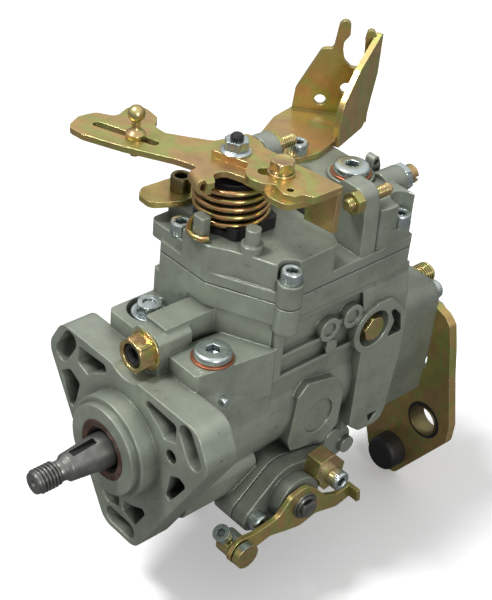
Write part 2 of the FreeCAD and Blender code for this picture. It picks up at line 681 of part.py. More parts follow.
s = Piece("cover_screw_set")
for (x, y), seat in zip((FR, RR, FL), SEATS):
    s.pad("XY", seat, seat + head_high, Circle(x, y, head_rad))
    s.pad("XY", parting - 11.0, seat + 0.5, Circle(x, y, m6))
    s.cut("XY", seat + 2.5, seat + head_high + 1.0, hexagon(x, y, key6))

# shaft seal and bearing

p = Piece("shaft_seal", axis="Y")
p.turn((shaft_r + 0.7, -S["nose_long"] + 0.3), (S["seal_dia"] / 2.0, -S["nose_long"]),
       (S["seal_dia"] / 2.0, -S["nose_long"] + S["seal_wide"]),
       (shaft_r + 0.4, -S["nose_long"] + S["seal_wide"]),
       (shaft_r + 0.4, -S["nose_long"] + S["seal_wide"] - 2.0))
p = Piece("shaft_bush", axis="Y")
p.turn((shaft_r + run, -4.5), (bush_r, -4.5), (bush_r, 26.0), (shaft_r + run, 26.0))

# fittings

p = Piece("inlet_fitting", at=(0.5, 0, 47.0), axis="Y")
p.pad("XY", 1.5, 10.4 - S["washer_thick"], hexagon(0, 0, 17.0, 10))
p.pad("XY", 9.0, 22.0, Circle(0, 0, 5.0))
p.cut("XY", 0.0, 23.0, Circle(0, 0, 3.0))
p.cut("XY", 0.0, 7.6, Circle(0, 0, 5.6))
inlet_ring = Piece("inlet_washer", at=(0.5, 0, 47.0), axis="Y")
inlet_ring.pad("XY", 10.4 - S["washer_thick"], 10.4, Circle(0, 0, 9.8))
inlet_ring.cut("XY", 5.0, 12.0, Circle(0, 0, 5.3))
p = Piece("pressure_valve", at=(-24.0, 31.5, 0))
p.pad("XY", 41.0, 45.0, Circle(0, 0, 8.6))
p.pad("XY", 44.0, 50.0, hexagon(0, 0, 11.0, 15))
p.pad("XY", 30.0, 42.0, Circle(0, 0, 5.0))
p.cut("XY", 49.0, 51.0, Circle(0, 0, 3.0))

rings, plugs = [inlet_ring.body], []
for name, x, y, z in (("front_plug", 20.5, 31.5, plate), ("rear_plug", 0.7, 129.4, roof + 1.5)):
    w = Piece(name + "_washer", at=(x, y, z))
    w.pad("XY", 0.0, S["washer_thick"], Circle(0, 0, S["washer_dia"] / 2.0))
    w.cut("XY", -1.0, 3.0, Circle(0, 0, plug_r + 0.3))
    p = Piece(name, at=(x, y, z))
    wt = S["washer_thick"]
    r = S["plug_dia"] / 2.0
    p.turn((0, -7.0), (plug_r, -7.0), (plug_r, wt), (r, wt), (r, wt + 2.8),
           (r - 1.0, wt + 3.8), (0, wt + 3.8))
    p.cut("XY", 1.5, 8.0, hexagon(0, 0, 6.0, 20))
    rings.append(w.body)
    plugs.append(p.body)
group("sealing_washers", *rings)
group("plugs", *plugs)

# governor lever pivot screws, one on each flank

p = Piece("pivot_screws")
for sign in (1, -1):
    a, b = (28.0, 36.3) if sign > 0 else (-36.3, -28.0)
    p.pad("YZ", a, b, hexagon(pvy, pvz, 12.0, 20))
    a, b = (22.0, 28.5) if sign > 0 else (-28.5, -22.0)
    p.pad("YZ", a, b, Circle(pvy, pvz, 5.0))
    a, b = (14.5, 22.5) if sign > 0 else (-22.5, -14.5)
    p.pad("YZ", a, b, Circle(pvy, pvz, 3.0))

# distributor head

d = Piece("distributor_head")
d.pad("XZ", rear, head_end, Poly([(-33.4, 36.3), (33.4, 36.3), (33.4, 0), (31.0, -31.5), (-31.0, -31.5),
                                  (-33.4, 0)], [9, 9, 8, 3, 3, 8]))
d.pad("XZ", 131.0, rear + 1.0, Circle(0, 0, 21.0))
d.cut("XZ", 130.0, head_end - 8.0, Circle(0, 0, S["plunger_dia"] / 2.0 + run))
d.cut("XZ", head_end - 10.0, head_end + 1.0, Circle(0, 0, 7.0 + press))
for x, z in OUTLETS:
    d.cut("XZ", head_end - 12.0, head_end + 1.0, Circle(x, z, 6.0 + press))
for x, z in HEAD_SCREWS:
    d.cut("XZ", rear - 1.0, head_end + 1.0, Circle(x, z, hole6))
d.cut("XZ", head_end - 12.0, head_end + 1.0, Circle(BRACKET_BOLT[0], BRACKET_BOLT[1], m6 + press))

p = Piece("plain_head_screws")
plain_head_screws = p.body
b1 = head_end + S["bracket_thick"]
for x, z in HEAD_SCREWS[:3]:
    p.pad("XZ", head_end, head_end + head_high, Circle(x, z, head_rad))
    p.pad("XZ", rear - 6.0, head_end + 0.5, Circle(x, z, m6))
    p.cut("XZ", head_end + 2.5, head_end + head_high + 1.0, hexagon(x, z, key6))

p = Piece("outlet_holders")
for x, z in OUTLETS:
    p.pad("XZ", head_end - 11.0, head_end + 1.0, Circle(x, z, 6.0))
    p.pad("XZ", head_end, head_end + 8.0, hexagon(x, z, 14.0, 15))
    p.pad("XZ", head_end + 7.0, head_end + 20.0, Circle(x, z, 6.0))
    p.cut("XZ", head_end - 12.0, head_end + 21.0, Circle(x, z, 1.5))
    p.cut("XZ", head_end + 17.0, head_end + 21.0, Circle(x, z, 3.8))
p = Piece("centre_plug")
p.pad("XZ", head_end - 7.5, head_end + 1.0, Circle(0, 0, 7.0))
p.pad("XZ", head_end, head_end + 6.0, hexagon(0, 0, 15.0))

# rear bracket with buffer and sleeve

b0 = head_end
b1 = head_end + S["bracket_thick"]
p = Piece("rear_bracket")
p.pad("XZ", b0, b1, Poly([(21.0, 22.6), (32.0, 22.6), (39.1, 20.4), (43.4, 16.5), (46.5, 3.0),
                          (49.3, -13.0), (55.3, -41.0), (55.0, -52.0), (26.1, -93.2), (10.5, -94.0),
                          (5.0, -86), (0.6, -73), (-3.0, -61), (-9.0, -40), (-3.5, -34.5), (3.0, -29.5),
                          (14.0, -25.5), (18.0, -19.5), (30.0, -19.5), (33.4, -15.0), (32.8, 5.0),
                          (21.0, 11.0)],
                         [3, 4, 5, 5, 8, 8, 2, 8, 6, 6, 3, 3, 3, 3, 3, 3, 3, 3, 4, 3, 4, 4]))
p.cut("XZ", b0 - 1.0, b1 + 1.0, Circle(HEAD_SCREWS[3][0], HEAD_SCREWS[3][1], hole6),
      Circle(BRACKET_BOLT[0], BRACKET_BOLT[1], hole6))
p.cut("XZ", b0 - 1.0, b1 + 1.0, Circle(38.5, -47.2, 10.6), Circle(22.1, -77.4, 4.0))
bracket_sleeve = Piece("bracket_sleeve", at=(38.5, b0, -47.2), axis="Y")
p = bracket_sleeve
p.turn((8.0, -1.0), (9.0, -1.0), (9.0, S["bracket_thick"] + 0.5), (10.0, S["bracket_thick"] + 0.5),
       (10.0, S["bracket_thick"] + 5.0), (8.0, S["bracket_thick"] + 5.0))
p = Piece("bracket_screws")
bracket_screws = p.body
for x, z, y in ((HEAD_SCREWS[3][0], HEAD_SCREWS[3][1], rear - 6.0),
                (BRACKET_BOLT[0], BRACKET_BOLT[1], head_end - 11.0)):
    p.pad("XZ", b1, b1 + head_high, Circle(x, z, head_rad))
    p.pad("XZ", y, b1 + 0.5, Circle(x, z, m6))
    p.cut("XZ", b1 + 2.5, b1 + head_high + 1.0, hexagon(x, z, key6))
group("head_screws", plain_head_screws, bracket_screws)
p = Piece("buffer", at=(22.1, b0, -77.4), axis="Y")
p.turn((0, -10.5), (8.3, -10.5), (9.7, -8.7), (9.7, 0), (4.0 - press, 0), (4.0 - press, S["bracket_thick"]),
       (5.6, S["bracket_thick"]), (4.6, S["bracket_thick"] + 3.0), (0, S["bracket_thick"] + 3.0))
w = Piece("sleeve_ring", at=(38.5, b0, -47.2), axis="Y")
w.turn((9.0 + press, 0), (10.6 - press, 0), (10.6 - press, S["bracket_thick"]),
       (9.0 + press, S["bracket_thick"]))
group("rubber_buffer", p.body, w.body)

# cable bracket folded from one sheet

t = S["sheet_thick"]
base_z = roof
ux, uy = 0.7226, 0.6912
vx, vy = -0.314, 0.949
p = Piece("cable_bracket")
p.pad("XY", base_z, base_z + t, Poly([(-34, 108), (-22.5, 110.5), (-19.5, 127), (-24.5, 143.5),
                                      (-33.5, 171), (-41.0, 173.0), (-62.5, 152.5), (-59, 135),
                                      (-49, 116)], [5, 5, 12, 0, 0, 0, 4, 12, 8]))
p.cut("XY", base_z - 1.0, base_z + 5.0, Circle(RL[0], RL[1], hole6))


def sheet_wall(name, foot, direction, outline, holes):
    """A vertical sheet wall standing on the bracket's base plate."""
    body = doc.addObject("PartDesign::Body", name)
    body.AllowCompound = True
    angle = math.degrees(math.atan2(direction[1], direction[0]))
    turn = FreeCAD.Rotation(FreeCAD.Vector(0, 0, 1), angle)
    stand = FreeCAD.Rotation(FreeCAD.Vector(1, 0, 0), 90)
    body.Placement = FreeCAD.Placement(FreeCAD.Vector(foot[0], foot[1], num(base_z)),
                                       turn.multiply(stand))
    bind(body, "Placement.Base.z", base_z)
    Piece.count += 1
    sk = body.newObject("Sketcher::SketchObject", "Outline%03d" % Piece.count)
    for feature in body.Origin.OriginFeatures:
        if feature.Role == "XY_Plane":
            sk.AttachmentSupport = [(feature, "")]
    sk.MapMode = "FlatFace"
    outline.draw(sk)
    for hole in holes:
        hole.draw(sk)
    pad = body.newObject("PartDesign::Pad", "Pad%03d" % Piece.count)
    pad.Profile = sk
    bind(pad, "Length", t)
    return body


back = sheet_wall("bracket_back", (-63.0, 150.0), (ux, uy),
                  Poly([(0.5, 0), (38.6, 0), (38.6, 44.0), (36.5, 49.0), (33.4, 49.0),
                        (32.5, 44.0), (33.0, 39.0), (33.2, 29.5), (28.0, 28.0), (23.8, 32.0),
                        (22.6, 37.0), (22.6, 41.5), (25.3, 45.5), (25.0, 50.5), (22.6, 54.0),
                        (19.4, 50.5), (17.9, 37.5), (12.5, 37.0), (1.6, 14.0)],
                       [0, 0, 2, 2, 2, 2, 3, 2, 4, 4, 2, 3, 3, 2, 2.5, 2, 2, 3, 6]),
                  [Circle(14.3, 9.5, 2.9), Circle(26.5, 17.0, 3.1)])
flank = sheet_wall("bracket_side", (-24.5, 142.6), (vx, vy),
                   Poly([(0, 0), (28.6, 0), (32.4, 14.5), (36.4, 26.0), (36.4, 48.0),
                         (14.0, 35.0), (0.5, 22.0), (-1.5, 12.0)],
                        [0, 6, 3, 3, 1, 8, 8, 8]), [])
fold = doc.addObject("Part::MultiFuse", "cable_bracket_sheet")
fold.Shapes = [p.body, back, flank]
fold.Label = "cable_bracket_folded"
PIECES.remove(p.body)
p.body.Label = "bracket_base"
fold.Label = "cable_bracket"
PIECES.append(fold)

p = Piece("cable_bracket_screw", at=(RL[0], RL[1], 0))
p.pad("XY", roof + t, roof + t + head_high + 1.0, Circle(0, 0, head_rad))
p.pad("XY", parting - 11.0, roof + t + 0.5, Circle(0, 0, m6))
p.cut("XY", roof + t + 3.5, roof + t + head_high + 2.0, hexagon(0, 0, key6))
group("cover_screws", s.body, p.body)

# support plate and spacer on the left of the springs

p = Piece("support_plate")
p.pad("XY", box, box + 3.0, Poly([(-47.0, 41.0), (-38.0, 40.5), (-31.0, 54.0), (-31.5, 84.0),
                                  (-40.0, 90.0), (-50.0, 74.0), (-51.0, 46.0)],
                                 [4, 5, 2, 3, 5, 5, 4]))
p = Piece("spacer_sleeve", at=(-40.0, 60.0, box + 3.0))
p.turn((3.0, 0), (5.0, 0), (5.0, 7.0), (4.6, 7.4), (3.2, 7.4), (3.0, 7.0))
group("sleeves", bracket_sleeve.body, p.body)

# stop screws with their nuts

stops = Piece("stop_screws")
p = stops
p.pad("XZ", 85.9, 111.0, Circle(S["idle_x"], S["idle_z"], m6))
p.pad("XZ", 99.9, 128.0, Circle(S["full_x"], S["full_z"], m6))
p.cut("XZ", 110.0, 112.0, rect(S["idle_x"] - 4.0, S["idle_x"] + 4.0, S["idle_z"] - 0.5,
                               S["idle_z"] + 0.5))
p.cut("XZ", 127.0, 129.0, rect(S["full_x"] - 4.0, S["full_x"] + 4.0, S["full_z"] - 0.5,
                               S["full_z"] + 0.5))
nuts = Piece("stop_locknuts")
p = nuts
p.pad("XZ", 96.0, 100.5, hexagon(S["idle_x"], S["idle_z"], 10.0, 30))
p.pad("XZ", 103.0, 107.5, hexagon(S["full_x"], S["full_z"], 10.0, 30))
p.cut("XZ", 95.0, 122.0, Circle(S["idle_x"], S["idle_z"], m6 + press))
p.cut("XZ", 95.0, 122.0, Circle(S["full_x"], S["full_z"], m6 + press))

p = Piece("full_load_screw", at=(10.5, 0, 92.5), axis="Y")
p.pad("XY", 116.0, 161.0, Circle(0, 0, 4.0))
p.pad("XY", 156.0, 162.0, Circle(0, 0, 4.8))
p.cut("XY", 158.5, 163.0, rect(-6.0, 6.0, -0.8, 0.8))
group("adjusting_screws", stops.body, p.body)
p = Piece("full_load_nut", at=(10.5, 0, 92.5), axis="Y")
p.pad("XY", 152.0, 156.0, hexagon(0, 0, 13.0, 10))
p.cut("XY", 151.0, 157.0, Circle(0, 0, 4.0 + press))
group("locknuts", nuts.body, p.body)

# springs and guide of the control lever

p = Piece("spring_guide", at=(cx, cy, box))
r = S["guide_rad"]
p.turn((8.8, 0), (17.0, 0), (17.0, 3.0), (r, 3.0), (r, 24.0), (6.0, 24.0), (6.0, 8.5), (8.8, 8.5))
p.pad("XY", 0.0, 6.0, Poly([(9, -14), (17.5, -12.5), (18.5, 12), (9, 14)], [0, 3, 3, 0]))
p.cut("XY", 3.0, 7.0, Circle(0, 0, S["spring_rad"] + 1.9))
p.pad("XY", 3.0, 7.0, Circle(0, 0, r))
p.cut("XY", 2.0, 8.0, Circle(0, 0, 8.8))
coil("return_spring", (cx, cy, box + 5.0), "Z", S["spring_rad"], S["wire_dia"],
     Q(4.4, "4.4"), Q(19.0, "19.0"))

# control shaft and levers

lz = S["lever_z"]
lt = S["lever_thick"]
pt = S["plate_thick"]
p = Piece("control_shaft", at=(cx, cy, 0))
cr = S["ctrl_dia"] / 2.0
p.turn((0, 64.0), (8.0, 64.0), (8.0, 67.0), (cr, 67.0), (cr, lz), (3.9, lz), (3.9, lz + lt + pt),
       (3.0, lz + lt + pt), (3.0, 131.0), (2.2, 132.0), (0, 132.0))
p.pad("XY", 59.0, 65.0, Circle(0, 6.0, 1.8))

LEVER = Poly([(-80.5, 31.5), (-75.5, 22.0), (-66.0, 22.8), (-47.4, 31.0), (-26.0, 43.2),
              (-17.0, 46.6), (-1.8, 41.2), (-0.8, 44.6), (-6.6, 48.5), (-6.4, 54.5),
              (2.0, 57.5), (14.0, 58.5), (20.5, 55.5),
              (30.0, 57.0), (33.5, 70.0), (22.0, 80.0), (0.0, 79.0), (-17.6, 85.8),
              (-25.8, 85.8), (-29.0, 68.5), (-37.0, 62.0), (-46.8, 54.6), (-54.2, 54.5),
              (-60.0, 61.0), (-70.5, 62.5), (-75.5, 56.0), (-71.0, 46.0), (-79.5, 40.5)],
             [5, 5, 8, 10, 10, 3, 1, 1, 3, 4, 6, 6, 4, 4, 5, 6, 10, 2, 2, 4, 6, 4, 5, 4, 4, 4, 4, 5])
p = Piece("control_lever")
p.pad("XY", lz, lz + lt, LEVER)
p.cut("XY", lz - 1.0, lz + lt + 1.0, Circle(cx, cy, 3.9 + press),
      bar(-56.0, 39.4, 34.0, 4.5, 20.5), bar(-68.5, 56.8, 5.5, 2.2, 0),
      Circle(13.5, 69.5, m6 + press))
# rolled tab over the spring leg and the idle tab
p.pad("XY", 107.0, lz + 0.5, Poly([(-15.6, 46.1), (-3.0, 41.6), (-2.1, 44.0), (-14.7, 48.5)]))
p.pad("XZ", 83.2, 85.8, rect(-25.0, -18.6, 106.0, lz + 0.5))

p = Piece("stop_plate")
sz0 = lz + lt
PLATE = Poly([(-24.0, 64.0), (-18.8, 57.4), (-1.0, 63.5), (3.5, 57.5), (8.5, 54.8), (15.5, 56.5),
              (18.6, 60.6), (22.5, 59.5), (26.5, 57.8), (31.2, 60.8), (32.0, 64.8), (36.4, 67.0),
              (36.6, 83.9), (20.5, 81.9), (11.0, 80.2), (0.0, 79.5), (-14.0, 77.5)],
             [3, 3, 2, 3, 4, 4, 2, 2, 4, 3, 1.5, 1, 0.3, 0, 4, 8, 6])
p.pad("XY", sz0, sz0 + pt, PLATE)
p.pad("XY", 101.0, sz0 + 1.0, Poly([(20.5, 81.9), (36.6, 83.9), (36.97, 80.92), (20.87, 78.92)]))
p.cut("XY", sz0 - 1.0, sz0 + pt + 1.0, Circle(cx, cy, 3.9 + press),
      bar(11.0, 66.5, 13.0, 6.2, 40), Circle(26.1, 62.8, 1.6))
p.cut("XY", sz0 - 1.0, sz0 + pt + 1.0, Circle(13.5, 69.5, m6 + press))

bolt = Piece("bolt_of_lever", at=(13.5, 69.5, sz0 + pt))
bolt.pad("XY", -pt - lt, 3.0, Circle(0, 0, m6))
bolt.pad("XY", 2.4, 6.6, hexagon(0, 0, 10.0, 5))
p = Piece("lever_bolt_washers", at=(13.5, 69.5, sz0 + pt))
p.pad("XY", 0.0, 1.2, Circle(0, 0, 6.2))
p.pad("XY", 1.2, 2.4, Circle(0, 0, 5.4))
p.cut("XY", -1.0, 3.0, Circle(0, 0, m6 + 0.2))
group("lever_bolt", bolt.body, p.body)
p = Piece("shaft_nut", at=(cx, cy, sz0 + pt))
p.turn((m6 + press, 0), (7.1, 0), (7.1, 0.7), (5.8, 1.6), (m6 + press, 1.6))
p.pad("XY", 1.0, 6.0, hexagon(0, 0, 10.0, 25))
p.cut("XY", -1.0, 7.0, Circle(0, 0, m6 + press))
ball = Piece("ball_stud_pin", at=(-51.2, 41.3, lz + lt))
ball.turn((0, -9.0), (2.2, -9.0), (2.2, 0), (4.6, 0), (4.6, 2.5), (2.0, 4.5), (2.0, 7.6), (3.0, 8.6),
       (3.9, 10.4), (4.0, 11.6), (3.5, 13.4), (2.2, 14.9), (0, 15.5))
p = Piece("ball_stud_nut", at=(-51.2, 41.3, lz - 4.0))
p.pad("XY", 0.0, 4.0, hexagon(0, 0, 8.0, 12))
p.cut("XY", -1.0, 5.0, Circle(0, 0, 2.2 + press))
group("ball_stud", ball.body, p.body)

# timing device: cold start cover on the right, cap on the left

gx = join + S["gasket_thick"]
fx = gx + S["adv_flange"]
p = Piece("advance_gasket")
p.pad("YZ", join, gx, ADV)
p.cut("YZ", join - 1.0, gx + 1.0, Circle(ay, az, 11.5),
      Circle(ADV_SCREWS[0][0], ADV_SCREWS[0][1], hole6),
      Circle(ADV_SCREWS[1][0], ADV_SCREWS[1][1], hole6))
p = Piece("advance_cover")
p.pad("YZ", gx, fx, ADV)
p.pad("YZ", gx, fx + 7.5, Circle(ay, az, 13.0))
p.cut("YZ", gx - 1.0, fx + 8.0, Circle(ay, az, 4.5 + run))
for y, z in ADV_SCREWS:
    p.cut("YZ", gx - 1.0, fx + 12.0, Circle(y, z, hole6))
p = Piece("advance_stop_block")
p.pad("YZ", fx, fx + 9.0, Poly([(77, -31.5), (84.5, -39.5), (95, -37), (96.5, -27.5), (88.5, -19),
                               (79.5, -20.5)], 1))
p.cut("YZ", fx - 1.0, fx + 10.0, Circle(ay, az, 13.3))
p.cut("YZ", fx - 1.0, fx + 16.0, Circle(ADV_SCREWS[1][0], ADV_SCREWS[1][1], hole6))
p = Piece("advance_screws")
advance_screws = p.body
for (y, z), seat in zip(ADV_SCREWS, (fx, fx + 9.0)):
    p.pad("YZ", seat, seat + head_high, Circle(y, z, head_rad))
    p.pad("YZ", join - 9.5, seat + 0.5, Circle(y, z, m6))
    p.cut("YZ", seat + 2.5, seat + head_high + 1.0, hexagon(y, z, key6))

lx = fx + 8.5
post = Piece("shaft_of_advance", at=(0, ay, az), axis="X")
p = post
p.pad("XY", 31.0, lx + 7.0, Circle(0, 0, 4.5))
p.cut("XY", lx + 2.0, lx + 8.0, rect(-6.0, -3.2, -6.0, 6.0))
p = Piece("advance_lever")
p.pad("YZ", lx, lx + 2.5, Poly([(21.5, -47.0), (27.0, -38.5), (38, -40.0), (52, -38.5), (59.5, -30),
                                (70, -27.5), (77, -33.5), (84, -41.5), (92, -45), (102, -44),
                                (103.5, -51), (93, -53.5), (84, -51), (78, -49.5), (68, -52.0),
                                (59, -50), (48, -47.0), (37, -49.5), (27, -53.5)],
                               [4, 5, 8, 8, 6, 8, 8, 6, 6, 2, 2, 6, 6, 6, 8, 8, 8, 6, 5]))
p.pad("YZ", lx, lx + 8.0, Poly([(100.5, -44.2), (102.8, -44.0), (103.8, -51), (101.5, -51.2)]))
p.cut("YZ", lx - 1.0, lx + 9.0, Circle(ay, az, 4.5 + press), Circle(29.0, -45.5, 3.0 + run))
p = Piece("lever_clip", at=(0, ay, az), axis="X")
p.pad("XY", lx + 2.5, lx + 4.0, Circle(0, 0, 7.0))
p.pad("XY", lx + 4.0, lx + 5.2, Circle(0, 0, 6.0))
p.cut("XY", lx + 1.0, lx + 6.0, Circle(0, 0, 4.5 + press))
group("advance_shaft", post.body, p.body)
clamp = Piece("clamp_body", at=(0, 29.0, -45.5), axis="X")
clamp.pad("XY", lx - 8.0, lx - 0.4, Circle(0, 0, 6.0))
clamp.pad("XY", lx - 1.0, lx + 3.5, Circle(0, 0, 3.0))
clamp.pad("XY", lx + 2.9, lx + 4.4, Circle(0, 0, 5.0))
clamp.pad("XY", lx + 4.0, lx + 7.5, Circle(0, 0, 6.4))
p = Piece("clamp_screw", at=(lx - 4.2, 29.0, -45.5), axis="slant")
p.pad("XY", 6.2, 9.0, Circle(0, 0, 2.5))
p.pad("XY", 9.0, 13.0, Circle(0, 0, 4.2))
p.cut("XY", 11.5, 14.0, hexagon(0, 0, 4.0))
group("clamp_pin", clamp.body, p.body)

p = Piece("timing_cap")
p.pad("YZ", -join - 5.0, -join, ADV)
p.cut("YZ", -join - 6.0, -join + 1.0, *[Circle(y, z, hole6) for y, z in ADV_SCREWS])
p = Piece("timing_cap_screws")
for y, z in ADV_SCREWS:
    p.pad("YZ", -join - 5.0 - head_high, -join - 5.0, Circle(y, z, head_rad))
    p.pad("YZ", -join - 5.5, -join + 9.5, Circle(y, z, m6))
    p.cut("YZ", -join - 6.0 - head_high, -join - 7.5, hexagon(y, z, key6))
group("device_screws", advance_screws, p.body)

pr = S["piston_dia"] / 2.0
p = Piece("timing_piston", at=(0, ay, az), axis="X")
p.turn((0, -18.0), (pr, -18.0), (pr, 24.0), (6.5, 24.0), (6.5, 16.0), (0, 16.0))
p.cut("YZ", -12.0, 4.6, Circle(0, 0, 4.8))
coil("timing_spring", (-join + 0.9, ay, az), "X", Q(7.0, "7.0"), Q(1.6, "1.6"), Q(3.2, "3.2"),
     Q(13.5, "13.5"))

# inside of the pump, turning with the shaft

p = Piece("drive_shaft", axis="Y")
tr = S["thread_dia"] / 2.0
end = S["shaft_end"]
p.turn((0, -end + 2.5), (1.8, -end), (tr - 0.9, -end), (tr, -end + 1.0), (tr, -end + 12.0),
       (tr - 1.0, -end + 13.0), (tr - 1.0, -end + 15.5), (shaft_r - 1.9, -end + 17.5),
       (shaft_r, -end + 35.5), (shaft_r, 62.0), (0, 62.0))
p.cut("XZ", -shaft_r - 1.0, -shaft_r + 3.0, rect(-2.0, 2.0, -end + 20.0, -end + 33.0, 0.5))
p = Piece("vane_rotor", axis="Y")
p.pad("XY", 30.2, 45.3, Circle(0, 0, 15.4))
slot = p.cut("XY", 29.0, 47.0, rect(10.5, 17.0, -1.55, 1.55))
p.ring(slot, 4)
p.cut("XY", 29.0, 47.0, Circle(0, 0, shaft_r + press))
p = Piece("vanes", axis="Y")
v = p.pad("XY", 30.3, 45.2, rect(10.8, 15.6, -1.5, 1.5))
p.ring(v, 4)
p = Piece("eccentric_ring", axis="Y")
p.pad("XY", 30.0, 45.5, Circle(0, 0, 24.0 - press))
p.cut("XY", 29.0, 46.0, Circle(0, -0.8, 16.8))
p = Piece("pump_cover", axis="Y")
p.pad("XY", 45.5, 48.6, Circle(0, 0, 24.0 - press))
p.cut("XY", 45.0, 49.0, Circle(0, 0, shaft_r + 0.4))
p.cut("XY", 45.0, 49.0, bar(0, 12.0, 14.0, 4.0, 0))


def gear(piece, a, b, teeth, pitch_r, depth, turn=0.0):
    """Trapezoidal spur teeth cut from a round blank."""
    piece.pad("XY", a, b, Circle(0, 0, pitch_r + depth * 0.42))
    step = 2 * math.pi / teeth
    pts = []
    for rr, w in ((pitch_r + depth, 0.40), (pitch_r - depth * 0.58, 0.23)):
        for s in (-1, 1):
            ang = math.radians(turn) + s * w * step
            pts.append((rr * math.cos(ang), rr * math.sin(ang)))
    gap = piece.cut("XY", a - 0.5, b + 0.5, Poly([pts[0], pts[1], pts[3], pts[2]]))
    piece.ring(gap, teeth)


p = Piece("drive_gear", axis="Y")
gear(p, 55.2, 59.8, 36, 26.4, 2.4)
p.cut("XY", 55.0, 60.0, Circle(0, 0, shaft_r + press))
p = Piece("cross_disc", axis="Y")
p.pad("XY", 62.05, 65.5, Circle(0, 0, 12.0))
p.pad("XY", 65.0, 80.0, rect(-4.0, 4.0, -11.0, 11.0, 1.0))
p = Piece("cam_plate", axis="Y")
p.pad("XY", 81.6, 88.0, Circle(0, 0, 26.0))
valley = p.cut("XY", 81.0, 82.8, rect(16.0, 27.0, -3.0, 3.0))
p.ring(valley, 4)
p.pad("XY", 80.1, 82.0, Circle(0, 0, 13.0))
p = Piece("plunger", axis="Y")
p.turn((0, 88.0), (9.0, 88.0), (9.0, 90.0), (S["plunger_dia"] / 2.0, 90.0),
       (S["plunger_dia"] / 2.0, 162.0), (0, 162.0))

# roller ring with its pin in the timing piston

p = Piece("roller_cage", axis="Y")
cage = p.body
p.pad("XY", 63.0, 77.5, Circle(0, 0, S["cavity_rad"] - run))
p.cut("XY", 62.0, 75.8, rect(-20.0, 20.0, -30.0, -25.6))
p.cut("XY", 62.0, 79.0, Circle(0, 0, 14.0))
pocket = p.cut("XY", 72.5, 79.0, rect(17.0, 25.2, -4.6, 4.6))
p.ring(pocket, 4)
p.pad("XZ", 26.0, -az + 4.0, Circle(0, ay, 3.0))
p = Piece("rollers", axis="Y")
rr = p.pad("YZ", 17.2, 25.0, Circle(0, 77.1, 4.4))
p.ring(rr, 4)
group("roller_ring", cage, p.body)

# springs behind the cam plate

p = Piece("spring_bridge", axis="Y")
p.pad("XY", 90.2, 92.6, rect(-23.0, 23.0, -6.0, 6.0, 3.0))
p.cut("XY", 90.0, 93.0, Circle(0, 0, 6.2))
pair = [coil("plunger_spring_%d" % (k + 1), (x, 93.5, 0), "Y", Q(4.0, "4.0"), Q(1.6, "1.6"),
             Q(4.2, "4.2"), Q(36.7, "36.7")) for k, x in enumerate((16.0, -16.0))]
group("plunger_springs", *pair)
p = Piece("control_collar", axis="Y")
p.pad("XY", 114.0, 126.0, Circle(0, 0, 10.5))
p.cut("XY", 113.0, 127.0, Circle(0, 0, S["plunger_dia"] / 2.0 + run))
p.cut("XZ", -12.0, -7.0, Circle(0, pvy, 3.5))

# governor

p = Piece("governor_shaft", at=(0, 0, gz), axis="Y")
p.pad("XY", 34.2, 100.0, Circle(0, 0, 4.0))
p = Piece("flyweight_carrier", at=(0, 0, gz), axis="Y")
gear(p, 55.4, 60.2, 24, 17.6, 2.4, 7.5)
p.pad("XY", 60.0, 62.0, Circle(0, 0, 17.5))
arm = p.pad("XY", 61.5, 75.0, rect(11.5, 17.5, -2.0, 2.0))
p.ring(arm, 4)
p.cut("XY", 55.0, 63.0, Circle(0, 0, 4.0 + run))
p = Piece("flyweights", at=(0, 0, gz), axis="Y")
c45 = math.cos(math.radians(45))
w = p.pad("XY", 62.0, 75.0, Poly([((9.0 - 3.5) * c45, (9.0 + 3.5) * c45),
                                 ((9.0 + 3.5) * c45, (9.0 - 3.5) * c45),
                                 ((16.6 + 3.5) * c45, (16.6 - 3.5) * c45),
                                 ((16.6 - 3.5) * c45, (16.6 + 3.5) * c45)]))
p.ring(w, 4)
p = Piece("sliding_sleeve", at=(0, 0, gz), axis="Y")
p.turn((4.0 + run, 64.0), (6.2, 64.0), (6.2, 106.0), (4.0, 114.0), (2.0, 116.4), (0, 116.6),
       (0, 103.0), (4.0 + run, 103.0))
p = Piece("governor_lever")
p.pad("YZ", -18.0, 18.0, Circle(pvy, pvz, 5.2))
p.pad("YZ", -3.0, 3.0, Poly([(pvy - 2.4, 11.0), (pvy + 2.4, 11.0), (pvy + 4.5, pvz),
                             (pvy + 3.0, 52.0), (pvy - 4.5, 52.0), (pvy - 4.5, pvz)]))
p.pad("XY", 7.2, 12.0, Circle(0, pvy, 2.9))
p.pad("YZ", -15.0, 3.0, rect(pvy - 4.0, pvy - 1.0, 46.0, 66.0, 1.0))
p.cut("YZ", 13.5, 19.0, Circle(pvy, pvz, 3.0 + run))
p.cut("YZ", -19.0, -13.5, Circle(pvy, pvz, 3.0 + run))
coil("governor_spring", (cx, 75.2, 61.0), "Y", Q(3.4, "3.4"), Q(1.4, "1.4"), Q(3.4, "3.4"),
     Q(41.4, "41.4"))

doc.recompute()
bad = []
for obj in doc.Objects:
    if "Invalid" in obj.State or "Error" in obj.State:
        bad.append(obj.Name)
names = set()
for obj in PIECES:
    shape = obj.Shape
    if shape.isNull() or not shape.isValid() or not shape.Solids:
        bad.append(obj.Label)
        continue
    names.add(obj.Label)
if bad:
    raise RuntimeError("pieces not sound: " + ", ".join(bad))
for obj in PIECES:
    obj.Shape.exportStep("parts/" + obj.Label + ".step")
print("written", len(names), "pieces")
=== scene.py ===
"""Dresses the diesel injection pump: finishes, fasteners, threads, springs, light and camera.

The pump's own frame is used throughout, in metres: the shaft axis is Y, the drive
end points to -Y, and the control lever lies above the governor cover at +Z.
Sizes in the classes below are millimetres.
"""

from __future__ import annotations

import json
import logging
import math
from collections.abc import Callable, Sequence
from dataclasses import dataclass
from enum import Enum
from functools import cached_property

